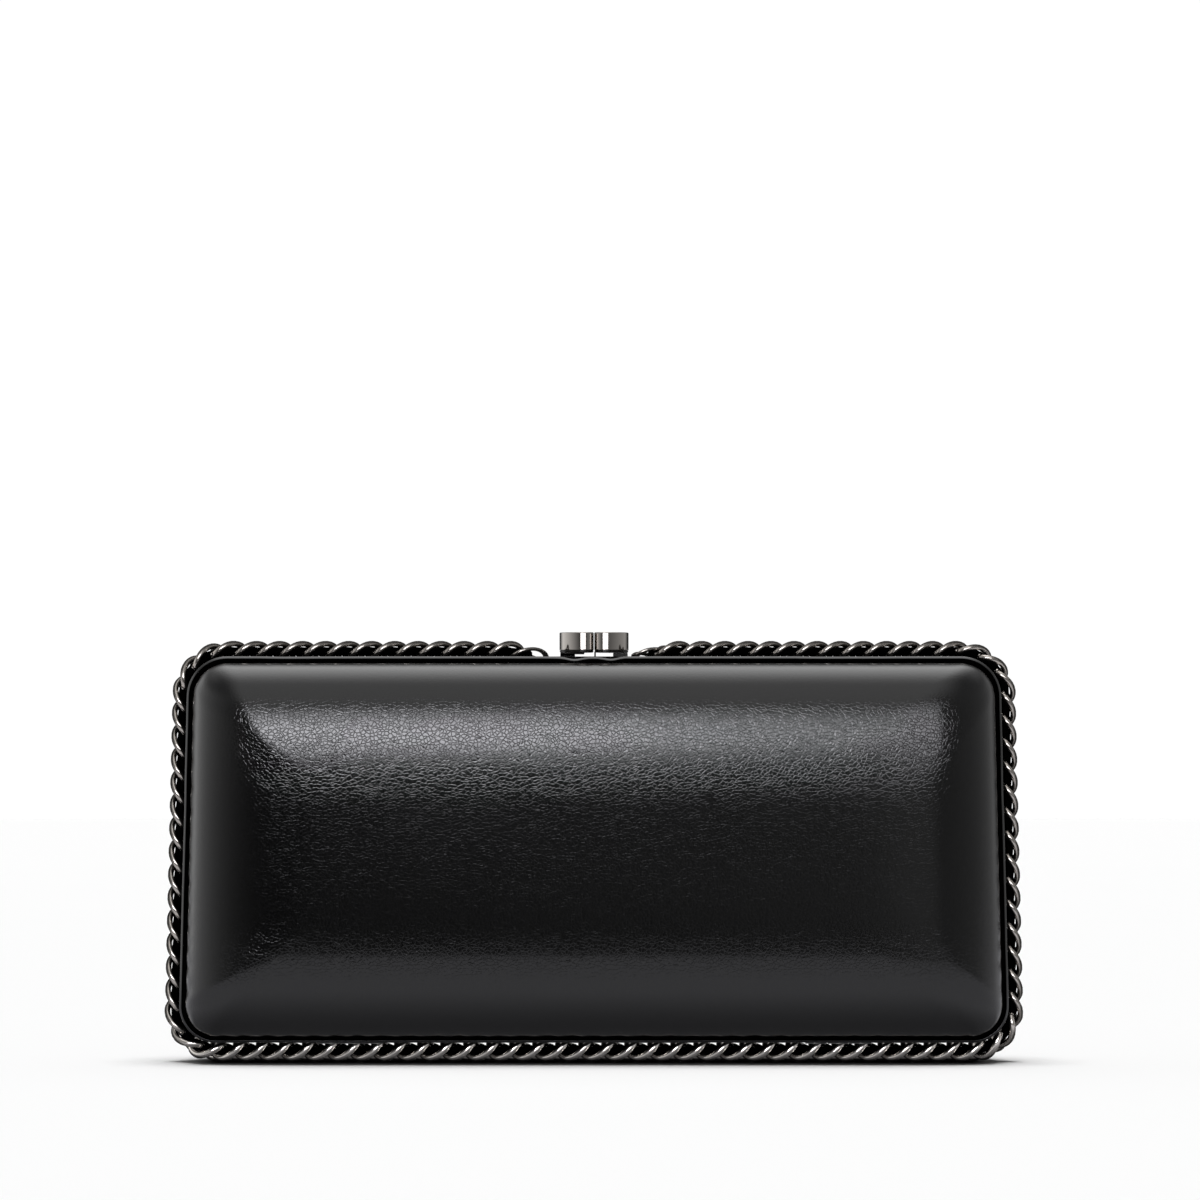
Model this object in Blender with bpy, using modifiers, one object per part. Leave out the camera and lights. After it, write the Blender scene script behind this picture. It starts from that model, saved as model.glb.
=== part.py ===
"""Kiss lock clutch: a hard, padded evening bag that stands on the chain round its edge.

Metres, +Z up. The front cover faces -Y, and the origin is on the surface that the chain stands on,
under the middle of the bag. An inset is measured inwards from the lip's outer edge, seen from the front.
"""

import math

import bmesh
import bpy
from mathutils import Matrix, Vector

# Clearance between pieces that touch on the real bag
GAP = 0.0003

# The lip's outline, seen from the front: a rounded box that is a little wider at the bottom
LIP_WIDTH_BOTTOM = 0.2043
LIP_WIDTH_TOP = 0.1997
LIP_HEIGHT = 0.0950
CORNER_BOTTOM = 0.0090
CORNER_TOP = 0.0100
CORNER_STEPS = 4

# Frames: a flat ring in front, and behind it a ring with a hoop that carries the chain
LIP_THICKNESS = 0.0008
LIP_STAND = 0.0015
LIP_CHAMFER = 0.0003
HOOP_WALL = 0.0012
CHANNEL_DEPTH = 0.0104
FLANGE_THICKNESS = 0.0012
FLANGE_WIDTH = 0.0049

# Domed layers of each half, from the leather inwards
PANEL_GROOVE = 0.00095
DOME_HEIGHT = 0.0158
DOME_FALL_POWER = 5.0
DOME_ROUND_POWER = 2.0
SKIN_RING_SHARES = (0.0, 0.012, 0.05, 0.13, 0.28, 0.55)
CORE_RING_SHARES = (0.0, 0.05, 0.13, 0.28, 0.55)
DOME_CORNER = 0.0045
LEATHER_THICKNESS = 0.0010
FOAM_THICKNESS = 0.0018
SHELL_THICKNESS = 0.0012
LINING_THICKNESS = 0.0005

# Chain and the leather ribbon inside it
CHAIN_BREADTH = 0.0086
CHAIN_RISE = 0.0034
CHAIN_RISE_BOTTOM = 0.0049
CHAIN_PITCH = 0.0057
CHAIN_FLAT = 0.00025
WIRE = 0.0015
LOOP_SHARES = (
    (1.0, -0.75),
    (0.5, -1.0),
    (-0.5, -1.0),
    (-1.0, -0.75),
    (-1.0, 0.75),
    (-0.5, 1.0),
    (0.5, 1.0),
    (1.0, 0.75),
)
RIBBON_THICKNESS = 0.0006
RIBBON_WIDTH = 0.0044
RIBBON_STEPS = 7

# Keepers that hold the ends of the chain beside the clasp
KEEPER_LENGTH = 0.0036
KEEPER_WALL = 0.0004
KEEPER_FROM_CENTRE = 0.0114

# Kiss lock: two round knobs side by side, the front one on the left
KNOB_WIDTH = 0.0083
KNOB_HEIGHT = 0.0047
KNOB_OVERHANG = 0.0002
KNOB_ROUNDING = 0.0005
KNOB_SEGMENTS = 2
KNOB_SIDES = 28
KNOB_STAND = 0.0013
FOOT_WIDTH = 0.0041
FOOT_SET_IN = 0.0003
FOOT_THICKNESS = 0.0009
FOOT_DEPTH = 0.0062
TAB_WIDTH = 0.0005
TAB_DEPTH = 0.0028
TAB_SET_IN = 0.0002
BASE_THICKNESS = 0.0008
BASE_DEPTH = 0.0056
LEG_THICKNESS = 0.0010
LEG_DEPTH = 0.0036

# Hinges, one at each side of the bottom edge
HINGE_FROM_CENTRE = 0.0600
HINGE_LENGTH = 0.0160
KNUCKLE_LENGTH = 0.0050
BARREL_RADIUS = 0.0010
BORE_RADIUS = 0.00062
PIN_RADIUS = 0.0004
AXIS_BELOW_HOOP = 0.0004
AXIS_BEFORE_FLANGE = 0.00015
LEAF_THICKNESS = 0.0006
LEAF_DEPTH = 0.0055
BARREL_SIDES = 12

# Screws and rivets
SCREW_SPREAD = 0.0052
SCREW_RADIUS = 0.0005
SCREW_HEAD_RADIUS = 0.0010
SCREW_HEAD_HEIGHT = 0.0006
SCREW_SIDES = 10
HOLE_GAP = 0.0002
BLIND_END = 0.0003
OVERRUN = 0.001

PARTS = "kiss_lock_clutch"
CUTTERS = "cutters"

# Heights and depths that several pieces share
LIP_BOTTOM = CHAIN_RISE_BOTTOM
LIP_TOP = LIP_BOTTOM + LIP_HEIGHT
SIDE_LEAN = (LIP_WIDTH_BOTTOM - LIP_WIDTH_TOP) / (2 * LIP_HEIGHT)
HOOP_INSET = LIP_THICKNESS + GAP
HOOP_BOTTOM = LIP_BOTTOM + HOOP_INSET
HOOP_FLOOR = HOOP_BOTTOM + HOOP_WALL
HOOP_TOP = LIP_TOP - HOOP_INSET
PARTING = CHANNEL_DEPTH / 2
FLANGE_FACE = PARTING + FLANGE_THICKNESS
RIM = FLANGE_FACE + GAP
LIP_EDGE = FLANGE_FACE + LIP_STAND
PANEL_INSET = LIP_THICKNESS + PANEL_GROOVE
DOME_REACH = LIP_HEIGHT / 2 - PANEL_INSET
HOOP_FRONT = PARTING - GAP
AXIS_Y = -(PARTING + AXIS_BEFORE_FLANGE)
AXIS_Z = HOOP_BOTTOM - AXIS_BELOW_HOOP


def start_scene():
    """Empties the scene and makes the two collections."""
    for old in list(bpy.data.objects):
        bpy.data.objects.remove(old, do_unlink=True)
    for name in (PARTS, CUTTERS):
        collection = bpy.data.collections.new(name)
        bpy.context.scene.collection.children.link(collection)


def new_material(name, colour, roughness, metallic):
    material = bpy.data.materials.new(name)
    material.use_nodes = True
    shader = material.node_tree.nodes["Principled BSDF"]
    shader.inputs["Base Color"].default_value = (*colour, 1.0)
    shader.inputs["Roughness"].default_value = roughness
    shader.inputs["Metallic"].default_value = metallic
    return material


def add_object(name, mesh, material=None, parent=None):
    """Puts a mesh in the parts collection, or in the cutters collection when it has no material."""
    obj = bpy.data.objects.new(name, mesh)
    if material is None:
        bpy.data.collections[CUTTERS].objects.link(obj)
        obj.hide_render = True
        obj.display_type = "WIRE"
    else:
        bpy.data.collections[PARTS].objects.link(obj)
        mesh.materials.append(material)
    if parent is not None:
        obj.parent = parent
        obj.matrix_parent_inverse = parent.matrix_world.inverted()
    return obj


def mesh_from(name, bm):
    """Turns a bmesh into a mesh with its faces pointing out."""
    bmesh.ops.recalc_face_normals(bm, faces=bm.faces)
    mesh = bpy.data.meshes.new(name)
    bm.to_mesh(mesh)
    bm.free()
    return mesh


def box_mesh(name, low, high):
    low = Vector(low)
    high = Vector(high)
    bm = bmesh.new()
    place = Matrix.Translation((low + high) / 2) @ Matrix.Diagonal((*(high - low), 1))
    bmesh.ops.create_cube(bm, size=1, matrix=place)
    return mesh_from(name, bm)


def knob_mesh(name, middle, half_width, half_depth, height):
    """An upright cylinder, oval seen from above."""
    bm = bmesh.new()
    bmesh.ops.create_cone(
        bm,
        cap_ends=True,
        segments=KNOB_SIDES,
        radius1=1,
        radius2=1,
        depth=1,
        matrix=Matrix.Translation(middle) @ Matrix.Diagonal((half_width, half_depth, height, 1)),
    )
    return mesh_from(name, bm)


def rod_mesh(name, middle, length, radius):
    """A cylinder along X."""
    bm = bmesh.new()
    bmesh.ops.create_cone(
        bm,
        cap_ends=True,
        segments=BARREL_SIDES,
        radius1=radius,
        radius2=radius,
        depth=length,
        matrix=Matrix.Translation(middle) @ Matrix.Rotation(math.pi / 2, 4, "Y"),
    )
    return mesh_from(name, bm)


def boolean(obj, operation, mesh):
    """Joins a helper shape to an object or cuts it away."""
    helper = add_object(mesh.name, mesh)
    modifier = obj.modifiers.new(mesh.name, "BOOLEAN")
    modifier.operation = operation
    modifier.object = helper
    modifier.solver = "EXACT"


def cut_box(obj, name, low, high):
    boolean(obj, "DIFFERENCE", box_mesh(name, low, high))


def join_box(obj, name, low, high):
    boolean(obj, "UNION", box_mesh(name, low, high))


def smooth(mesh, angle=math.radians(40)):
    mesh.shade_smooth()
    mesh.set_sharp_from_angle(angle=angle)


# Outlines seen from the front


def corner_centres(inset, drop=0):
    """Corners of the box with sharp corners, `inset` inside the lip, its bottom edge lowered by `drop`."""
    low = LIP_BOTTOM + inset - drop
    high = LIP_TOP - inset
    slant = inset * math.hypot(1, SIDE_LEAN)

    def half_width(z):
        return LIP_WIDTH_BOTTOM / 2 - (z - LIP_BOTTOM) * SIDE_LEAN - slant

    return (
        (half_width(low), low),
        (half_width(high), high),
        (-half_width(high), high),
        (-half_width(low), low),
    )


def corner_angles():
    """Start and end of each corner's arc, anticlockwise from the bottom right."""
    lean = math.atan(SIDE_LEAN)
    quarter = math.pi / 2
    return (
        (-quarter, lean),
        (lean, quarter),
        (quarter, 2 * quarter - lean),
        (2 * quarter - lean, 3 * quarter),
    )


def outline(inset):
    """Points (x, z) of the rounded box, `inset` inside the lip, anticlockwise from the bottom right."""
    points = []
    radii = (CORNER_BOTTOM, CORNER_TOP, CORNER_TOP, CORNER_BOTTOM)
    for number, (start, end) in enumerate(corner_angles()):
        radius = max(radii[number] - inset, DOME_CORNER)
        x, z = corner_centres(inset + radius)[number]
        for step in range(CORNER_STEPS + 1):
            angle = start + (end - start) * step / CORNER_STEPS
            points.append((x + radius * math.cos(angle), z + radius * math.sin(angle)))
    return points


def ring_mesh(name, section):
    """Sweeps a closed section of (inset, y) points round the outline."""
    bm = bmesh.new()
    rings = [[bm.verts.new((x, y, z)) for x, z in outline(inset)] for inset, y in section]
    for number, ring in enumerate(rings):
        following = rings[(number + 1) % len(rings)]
        for place in range(len(ring)):
            beside = (place + 1) % len(ring)
            bm.faces.new((ring[place], ring[beside], following[beside], following[place]))
    return mesh_from(name, bm)


def dome_profile(depth, shares):
    """Insets and heights of a domed layer's outer face, `depth` below the leather's, from rim to middle."""
    points = []
    for share in shares:
        left = 1 - share
        rise = 1 - left**DOME_FALL_POWER
        height = DOME_HEIGHT * rise ** (1 / DOME_ROUND_POWER)
        if rise > 0:
            steepness = left ** (DOME_FALL_POWER - 1) * rise ** (1 / DOME_ROUND_POWER - 1)
            slope = DOME_HEIGHT / DOME_REACH * DOME_FALL_POWER / DOME_ROUND_POWER * steepness
            along = slope / math.hypot(slope, 1)
            back = 1 / math.hypot(slope, 1)
        else:
            along = 1
            back = 0
        inset = PANEL_INSET + share * DOME_REACH + depth * along
        points.append((inset, height - depth * back))
    return points


def dome(name, side, depth, thickness, shares, material, parent):
    """A domed layer, lofted through rings whose corners tighten inwards: its outer face, then its inner."""
    bm = bmesh.new()
    rings = []
    profile = dome_profile(depth, shares) + dome_profile(depth + thickness, shares)[::-1]
    for inset, height in profile:
        y = side * (RIM + height)
        rings.append([bm.verts.new((x, y, z)) for x, z in outline(inset)])
    middle = len(shares) - 1
    for number, ring in enumerate(rings):
        if number == middle:
            bm.faces.new(ring)
            bm.faces.new(rings[number + 1])
            continue
        following = rings[(number + 1) % len(rings)]
        for place in range(len(ring)):
            beside = (place + 1) % len(ring)
            bm.faces.new((ring[place], ring[beside], following[beside], following[place]))
    mesh = mesh_from(name, bm)
    smooth(mesh)
    add_object(name, mesh, material, parent)


# The chain's path: straight runs and corners, from the left of the clasp round to the right of it


def chain_path():
    """Segments of the chain's centre line, anticlockwise from the left of the clasp."""
    outwards = (CHAIN_RISE - LIP_THICKNESS) / 2
    drop = (CHAIN_RISE_BOTTOM + CHAIN_FLAT - CHAIN_RISE) / 2
    radii = [radius + outwards for radius in (CORNER_BOTTOM, CORNER_TOP, CORNER_TOP, CORNER_BOTTOM)]
    centres = [
        Vector(corner_centres(radius - outwards, drop)[number]) for number, radius in enumerate(radii)
    ]
    angles = corner_angles()
    top = centres[1].y + radii[1]
    segments = []
    here = Vector((-chain_end(), top))
    for number in (2, 3, 0, 1):
        start, end = angles[number]
        there = centres[number] + radii[number] * heading(start)
        segments.append(("line", here, there, start))
        segments.append(("arc", centres[number], radii[number], start, end))
        here = centres[number] + radii[number] * heading(end)
    segments.append(("line", here, Vector((chain_end(), top)), math.pi / 2))
    return segments


def chain_end():
    return KEEPER_FROM_CENTRE + KEEPER_LENGTH


def heading(angle):
    return Vector((math.cos(angle), math.sin(angle)))


def segment_length(segment):
    if segment[0] == "line":
        return (segment[2] - segment[1]).length
    return segment[2] * (segment[4] - segment[3])


def segment_point(segment, share):
    """Place (x, z) and outward direction at a share of a segment's length."""
    if segment[0] == "line":
        return segment[1].lerp(segment[2], share), heading(segment[3])
    out = heading(segment[3] + (segment[4] - segment[3]) * share)
    return segment[1] + segment[2] * out, out


def path_point(segments, distance):
    """Place and outward direction at a distance along the whole path."""
    for segment in segments[:-1]:
        length = segment_length(segment)
        if distance <= length:
            return segment_point(segment, distance / length)
        distance -= length
    return segment_point(segments[-1], distance / segment_length(segments[-1]))


def chain_stretches(segments):
    """Name, start and end of each stretch of chain. They meet halfway round the corners."""
    marks = [0.0]
    total = 0.0
    for segment in segments:
        length = segment_length(segment)
        if segment[0] == "arc":
            marks.append(total + length / 2)
        total += length
    marks.append(total)
    names = ("chain_top_left", "chain_left", "chain_bottom", "chain_right", "chain_top_right")
    return list(zip(names, marks, marks[1:]))


def loop_point(segments, distance, across, broad):
    """A point of the wire. `across` and `broad` are shares of the loop's half height and half breadth."""
    place, out = path_point(segments, distance)
    downwards = max(0, -out.y) ** 2
    reach = CHAIN_RISE + LIP_THICKNESS
    low_reach = CHAIN_RISE_BOTTOM + CHAIN_FLAT + LIP_THICKNESS
    height = reach + (low_reach - reach) * downwards
    place = place + out * across * (height - WIRE) / 2
    return Vector((place.x, broad * (CHAIN_BREADTH - WIRE) / 2, place.y))


def chain_stretch(name, segments, start, end, material):
    """One stretch of chain as a single wound wire, which stands for its interlocked links."""
    turns = round((end - start) / CHAIN_PITCH)
    count = turns * len(LOOP_SHARES)
    end_share = GAP / (CHAIN_BREADTH - WIRE)
    points = [loop_point(segments, start, 1, -end_share)]
    for number in range(count):
        across, broad = LOOP_SHARES[number % len(LOOP_SHARES)]
        distance = start + (end - start) * (number + 1 / 2) / count
        points.append(loop_point(segments, distance, across, broad))
    points.append(loop_point(segments, end, 1, end_share))
    curve = bpy.data.curves.new(name, "CURVE")
    curve.dimensions = "3D"
    spline = curve.splines.new("POLY")
    spline.points.add(len(points) - 1)
    for point, place in zip(spline.points, points):
        point.co = (*place, 1)
    curve.bevel_depth = WIRE / 2
    curve.bevel_resolution = 0
    curve.use_fill_caps = True
    return add_object(name, curve, material)


def curve_to_mesh(obj):
    """Replaces a curve object with its mesh, its caps welded on."""
    bpy.context.view_layer.update()
    evaluated = obj.evaluated_get(bpy.context.evaluated_depsgraph_get())
    mesh = bpy.data.meshes.new_from_object(evaluated)
    bm = bmesh.new()
    bm.from_mesh(mesh)
    bmesh.ops.remove_doubles(bm, verts=bm.verts, dist=GAP / 100)
    bm.to_mesh(mesh)
    bm.free()
    name = obj.name
    material = obj.data.materials[0]
    place = obj.matrix_world.copy()
    bpy.data.objects.remove(obj, do_unlink=True)
    mesh.materials.clear()
    solid = add_object(name, mesh, material)
    solid.matrix_world = place
    return solid


def build_chain(materials):
    segments = chain_path()
    for name, start, end in chain_stretches(segments):
        stretch = chain_stretch(name, segments, start, end, materials["chain"])
        if name == "chain_bottom":
            stretch = curve_to_mesh(stretch)
            half = LIP_WIDTH_BOTTOM / 2
            cut_box(stretch, "floor_cut", (-half, -CHAIN_BREADTH, -OVERRUN), (half, CHAIN_BREADTH, 0))
    build_ribbon(segments, materials["leather"])
    build_keepers(segments[0][1].y, materials["clasp"])


def build_ribbon(segments, material):
    """The leather strip through the chain, from one keeper round to the other."""
    tail = Vector((KEEPER_LENGTH - KEEPER_WALL, 0))
    places = [segments[0][1] + tail]
    for segment in segments:
        steps = RIBBON_STEPS if segment[0] == "arc" else 1
        for step in range(1, steps + 1):
            places.append(segment_point(segment, step / steps)[0])
    places.append(places[-1] - tail)
    del places[-2]

    bm = bmesh.new()
    half = RIBBON_WIDTH / 2
    pairs = [(bm.verts.new((p.x, -half, p.y)), bm.verts.new((p.x, half, p.y))) for p in places]
    for (near, far), (next_near, next_far) in zip(pairs, pairs[1:]):
        bm.faces.new((near, far, next_far, next_near))
    mesh = bpy.data.meshes.new("chain_ribbon")
    bm.to_mesh(mesh)
    bm.free()
    ribbon = add_object("chain_ribbon", mesh, material)
    wall = ribbon.modifiers.new("thickness", "SOLIDIFY")
    wall.thickness = RIBBON_THICKNESS
    wall.offset = 0
    wall.use_even_offset = True


def build_keepers(middle, material):
    """Short flat sleeves on the hoop that hold the ribbon's ends, with the ribbon's middle at a height."""
    half = RIBBON_WIDTH / 2 + GAP
    slot = RIBBON_THICKNESS / 2 + GAP
    low = HOOP_TOP + GAP
    high = middle + slot + KEEPER_WALL
    for name, side in (("chain_keeper_left", -1), ("chain_keeper_right", 1)):
        left, right = sorted((side * KEEPER_FROM_CENTRE, side * (chain_end() - GAP)))
        outer = half + KEEPER_WALL
        keeper = add_object(name, box_mesh(name, (left, -outer, low), (right, outer, high)), material)
        cut_box(
            keeper,
            f"{name}_slot",
            (left - OVERRUN, -half, middle - slot),
            (right + OVERRUN, half, middle + slot),
        )


# Frames, lips and domes


def build_frames(materials, axis):
    """Both metal frames and the lip round each."""
    inner = HOOP_INSET + FLANGE_WIDTH
    hoop_inner = HOOP_INSET + HOOP_WALL
    front = [(HOOP_INSET, -PARTING), (inner, -PARTING), (inner, -FLANGE_FACE), (HOOP_INSET, -FLANGE_FACE)]
    rear = [
        (HOOP_INSET, -HOOP_FRONT),
        (hoop_inner, -HOOP_FRONT),
        (hoop_inner, PARTING),
        (inner, PARTING),
        (inner, FLANGE_FACE),
        (HOOP_INSET, FLANGE_FACE),
    ]
    edge = LIP_EDGE - LIP_CHAMFER
    lip = [
        (0, PARTING),
        (LIP_THICKNESS, PARTING),
        (LIP_THICKNESS, edge),
        (LIP_THICKNESS / 2, LIP_EDGE),
        (0, edge),
    ]
    add_object("front_frame", ring_mesh("front_frame", front), materials["frame"], axis)
    add_object("rear_frame", ring_mesh("rear_frame", rear), materials["frame"])
    front_lip = [(inset, -y) for inset, y in lip]
    add_object("front_lip", ring_mesh("front_lip", front_lip), materials["leather"], axis)
    add_object("rear_lip", ring_mesh("rear_lip", lip), materials["leather"])


def build_domes(materials, axis):
    """The four layers of each half, from the leather inwards."""
    layers = (
        ("panel", LEATHER_THICKNESS, SKIN_RING_SHARES, "leather"),
        ("padding", FOAM_THICKNESS, SKIN_RING_SHARES, "foam"),
        ("shell", SHELL_THICKNESS, CORE_RING_SHARES, "shell"),
        ("lining", LINING_THICKNESS, CORE_RING_SHARES, "lining"),
    )
    for half, side, parent in (("front", -1, axis), ("rear", 1, None)):
        depth = 0
        for layer, thickness, shares, material in layers:
            dome(f"{half}_{layer}", side, depth, thickness, shares, materials[material], parent)
            depth += thickness + GAP


# Screws, rivets and their holes


def fastener(name, place, turn, shank, material, parent=None):
    """A turned screw or rivet. Its head's underside is at the place, and its head points along its own +Z."""
    profile = (
        (0, SCREW_HEAD_HEIGHT),
        (SCREW_HEAD_RADIUS, SCREW_HEAD_HEIGHT),
        (SCREW_HEAD_RADIUS, 0),
        (SCREW_RADIUS, 0),
        (SCREW_RADIUS, -shank),
        (0, -shank),
    )
    bm = bmesh.new()
    corners = [bm.verts.new((x, 0, z)) for x, z in profile]
    for corner, following in zip(corners, corners[1:]):
        bm.edges.new((corner, following))
    mesh = bpy.data.meshes.new(name)
    bm.to_mesh(mesh)
    bm.free()
    obj = add_object(name, mesh, material)
    obj.location = place
    obj.rotation_euler = (turn, 0, 0)
    lathe = obj.modifiers.new("lathe", "SCREW")
    lathe.steps = SCREW_SIDES
    lathe.render_steps = SCREW_SIDES
    lathe.use_merge_vertices = True
    lathe.merge_threshold = HOLE_GAP / 10
    if parent is not None:
        obj.parent = parent
        obj.matrix_parent_inverse = parent.matrix_world.inverted()
    return obj


def drill(name, hole, place, along, length):
    """Cuts a round hole for a fastener, centred on a place, along Y or Z."""
    bm = bmesh.new()
    turn = Matrix.Rotation(math.pi / 2, 4, "X") if along == "Y" else Matrix.Identity(4)
    radius = SCREW_RADIUS + HOLE_GAP
    bmesh.ops.create_cone(
        bm,
        cap_ends=True,
        segments=SCREW_SIDES,
        radius1=radius,
        radius2=radius,
        depth=length,
        matrix=Matrix.Translation(place) @ turn,
    )
    boolean(bpy.data.objects[name], "DIFFERENCE", mesh_from(f"{name}_{hole}", bm))


# Kiss lock


def build_clasp(materials, axis):
    """Two levers, each a knob on a foot, the front one on the left. They snap past each other."""
    split = GAP / 2
    low = LIP_TOP + KNOB_STAND
    half_width = KNOB_WIDTH / 2
    half_depth = HOOP_FRONT + KNOB_OVERHANG
    for name, side, parent in (("clasp_front_lever", -1, axis), ("clasp_rear_lever", 1, None)):
        middle = (side * (split + half_width), 0, low + KNOB_HEIGHT / 2)
        mesh = knob_mesh(name, middle, half_width, half_depth, KNOB_HEIGHT)
        lever = add_object(name, mesh, materials["clasp"], parent)
        rounding = lever.modifiers.new("rounding", "BEVEL")
        rounding.width = KNOB_ROUNDING
        rounding.segments = KNOB_SEGMENTS

    outer = split + KNOB_WIDTH - FOOT_SET_IN
    inner = outer - FOOT_WIDTH
    foot_middle = (outer + inner) / 2
    foot_high = low + GAP
    foot_low = foot_high - FOOT_THICKNESS
    hoop_low = HOOP_TOP - HOOP_WALL

    # The front knob's foot turns down into a leg, through a notch in the hoop, riveted to the front ring
    front = bpy.data.objects["clasp_front_lever"]
    leg_rear = LEG_THICKNESS - HOOP_FRONT
    leg_low = hoop_low - LEG_DEPTH
    join_box(front, "front_leg", (-outer, -HOOP_FRONT, leg_low), (-inner, leg_rear, foot_high))
    join_box(front, "front_foot", (-outer, -HOOP_FRONT, foot_low), (-inner, FOOT_DEPTH - HOOP_FRONT, foot_high))
    cut_box(
        bpy.data.objects["rear_frame"],
        "leg_notch",
        (-outer - GAP, -PARTING, hoop_low - OVERRUN),
        (GAP - inner, leg_rear + GAP, HOOP_TOP + OVERRUN),
    )
    rivet_z = (leg_low + hoop_low) / 2
    for name in ("clasp_front_lever", "front_frame"):
        drill(name, "rivet_hole", (-foot_middle, -PARTING, rivet_z), "Y", 2 * PARTING)
    fastener(
        "clasp_front_rivet",
        (-foot_middle, leg_rear + GAP, rivet_z),
        -math.pi / 2,
        leg_rear + GAP + FLANGE_FACE - BLIND_END,
        materials["steel"],
        axis,
    )

    # The rear lever stands on a base plate that is riveted to the hoop, with a thin tab at the centre
    rear = bpy.data.objects["clasp_rear_lever"]
    base_low = HOOP_TOP + GAP
    base_high = base_low + BASE_THICKNESS
    half = BASE_DEPTH / 2
    join_box(rear, "rear_foot", (inner, -half, base_low), (outer, half, foot_high))
    join_box(rear, "rear_base", (split, -half, base_low), (foot_middle, half, base_high))
    join_box(
        rear,
        "rear_tab",
        (split + TAB_SET_IN, -TAB_DEPTH / 2, (base_low + base_high) / 2),
        (split + TAB_SET_IN + TAB_WIDTH, TAB_DEPTH / 2, low + KNOB_HEIGHT / 2),
    )
    shank = 2 * GAP + HOOP_WALL + BASE_THICKNESS
    drill("rear_frame", "rivet_hole", (foot_middle, 0, hoop_low), "Z", 4 * HOOP_WALL)
    drill("clasp_rear_lever", "rivet_hole", (foot_middle, 0, base_low), "Z", 2 * (BASE_THICKNESS + BLIND_END))
    fastener(
        "clasp_rear_rivet",
        (foot_middle, 0, hoop_low - GAP),
        math.pi,
        shank,
        materials["steel"],
    )


# Hinges


def build_hinge(side_name, centre, materials, axis):
    """A three-knuckle hinge. Its rear leaf lies on the hoop and its front leaf behind the front ring."""
    axis_place = (centre, AXIS_Y, AXIS_Z)
    half = HINGE_LENGTH / 2
    half_knuckle = KNUCKLE_LENGTH / 2
    arm_front = -HOOP_FRONT
    arm_rear = arm_front + LEAF_THICKNESS
    rear_low = HOOP_FLOOR + GAP
    rear_high = rear_low + LEAF_THICKNESS
    plate_front = arm_rear + GAP
    plate_rear = plate_front + LEAF_DEPTH
    front_low = rear_high + GAP
    front_high = LIP_BOTTOM + HOOP_INSET + FLANGE_WIDTH

    front_name = f"hinge_{side_name}_front_leaf"
    front = add_object(
        front_name,
        box_mesh(front_name, (centre - half, arm_front, front_low), (centre + half, arm_rear, front_high)),
        materials["steel"],
        axis,
    )
    join_box(
        front,
        f"{front_name}_arm",
        (centre - half_knuckle, arm_front, AXIS_Z),
        (centre + half_knuckle, arm_rear, front_low + LEAF_THICKNESS),
    )
    boolean(front, "UNION", rod_mesh(f"{front_name}_knuckle", axis_place, KNUCKLE_LENGTH, BARREL_RADIUS))

    rear_name = f"hinge_{side_name}_rear_leaf"
    rear = add_object(
        rear_name,
        box_mesh(rear_name, (centre - half, plate_front, rear_low), (centre + half, plate_rear, rear_high)),
        materials["steel"],
    )
    knuckle = half - half_knuckle - GAP
    for number, start in ((1, centre - half), (2, centre + half - knuckle)):
        end = start + knuckle
        join_box(
            rear,
            f"{rear_name}_arm_{number}",
            (start, arm_front, AXIS_Z),
            (end, arm_rear, rear_high),
        )
        join_box(
            rear,
            f"{rear_name}_bridge_{number}",
            (start, arm_front + LEAF_THICKNESS / 2, rear_low),
            (end, plate_front + LEAF_THICKNESS, rear_high),
        )
        middle = ((start + end) / 2, AXIS_Y, AXIS_Z)
        boolean(rear, "UNION", rod_mesh(f"{rear_name}_knuckle_{number}", middle, knuckle, BARREL_RADIUS))
    for leaf in (front, rear):
        bore = rod_mesh(f"{leaf.name}_bore", axis_place, HINGE_LENGTH + OVERRUN, BORE_RADIUS)
        boolean(leaf, "DIFFERENCE", bore)
    pin_name = f"hinge_{side_name}_pin"
    add_object(pin_name, rod_mesh(pin_name, axis_place, HINGE_LENGTH, PIN_RADIUS), materials["steel"])

    # Room for the knuckles in the front ring and lip, and for both leaves' arms in the hoop
    for name in ("front_frame", "front_lip"):
        room = rod_mesh(f"{name}_{side_name}_hinge", axis_place, HINGE_LENGTH + 2 * GAP, BARREL_RADIUS + GAP)
        boolean(bpy.data.objects[name], "DIFFERENCE", room)
    cut_box(
        bpy.data.objects["rear_frame"],
        f"{side_name}_hinge_notch",
        (centre - half - GAP, -PARTING, HOOP_BOTTOM - OVERRUN),
        (centre + half + GAP, plate_front, HOOP_FLOOR + OVERRUN),
    )

    screw_z = (front_low + front_high) / 2
    screw_y = (plate_front + plate_rear) / 2
    front_shank = arm_rear + GAP + FLANGE_FACE - BLIND_END
    rear_shank = rear_high + GAP - HOOP_BOTTOM - BLIND_END
    for number, x in ((1, centre - SCREW_SPREAD), (2, centre + SCREW_SPREAD)):
        hole = f"{side_name}_hole_{number}"
        for name in (front_name, "front_frame"):
            drill(name, hole, (x, -PARTING, screw_z), "Y", 2 * PARTING)
        for name in (rear_name, "rear_frame"):
            drill(name, hole, (x, screw_y, HOOP_FLOOR), "Z", 4 * HOOP_WALL)
        front_screw = f"hinge_{side_name}_front_screw_{number}"
        place = (x, arm_rear + GAP, screw_z)
        fastener(front_screw, place, -math.pi / 2, front_shank, materials["steel"], axis)
        rear_screw = f"hinge_{side_name}_rear_screw_{number}"
        fastener(rear_screw, (x, screw_y, rear_high + GAP), 0, rear_shank, materials["steel"])


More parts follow.
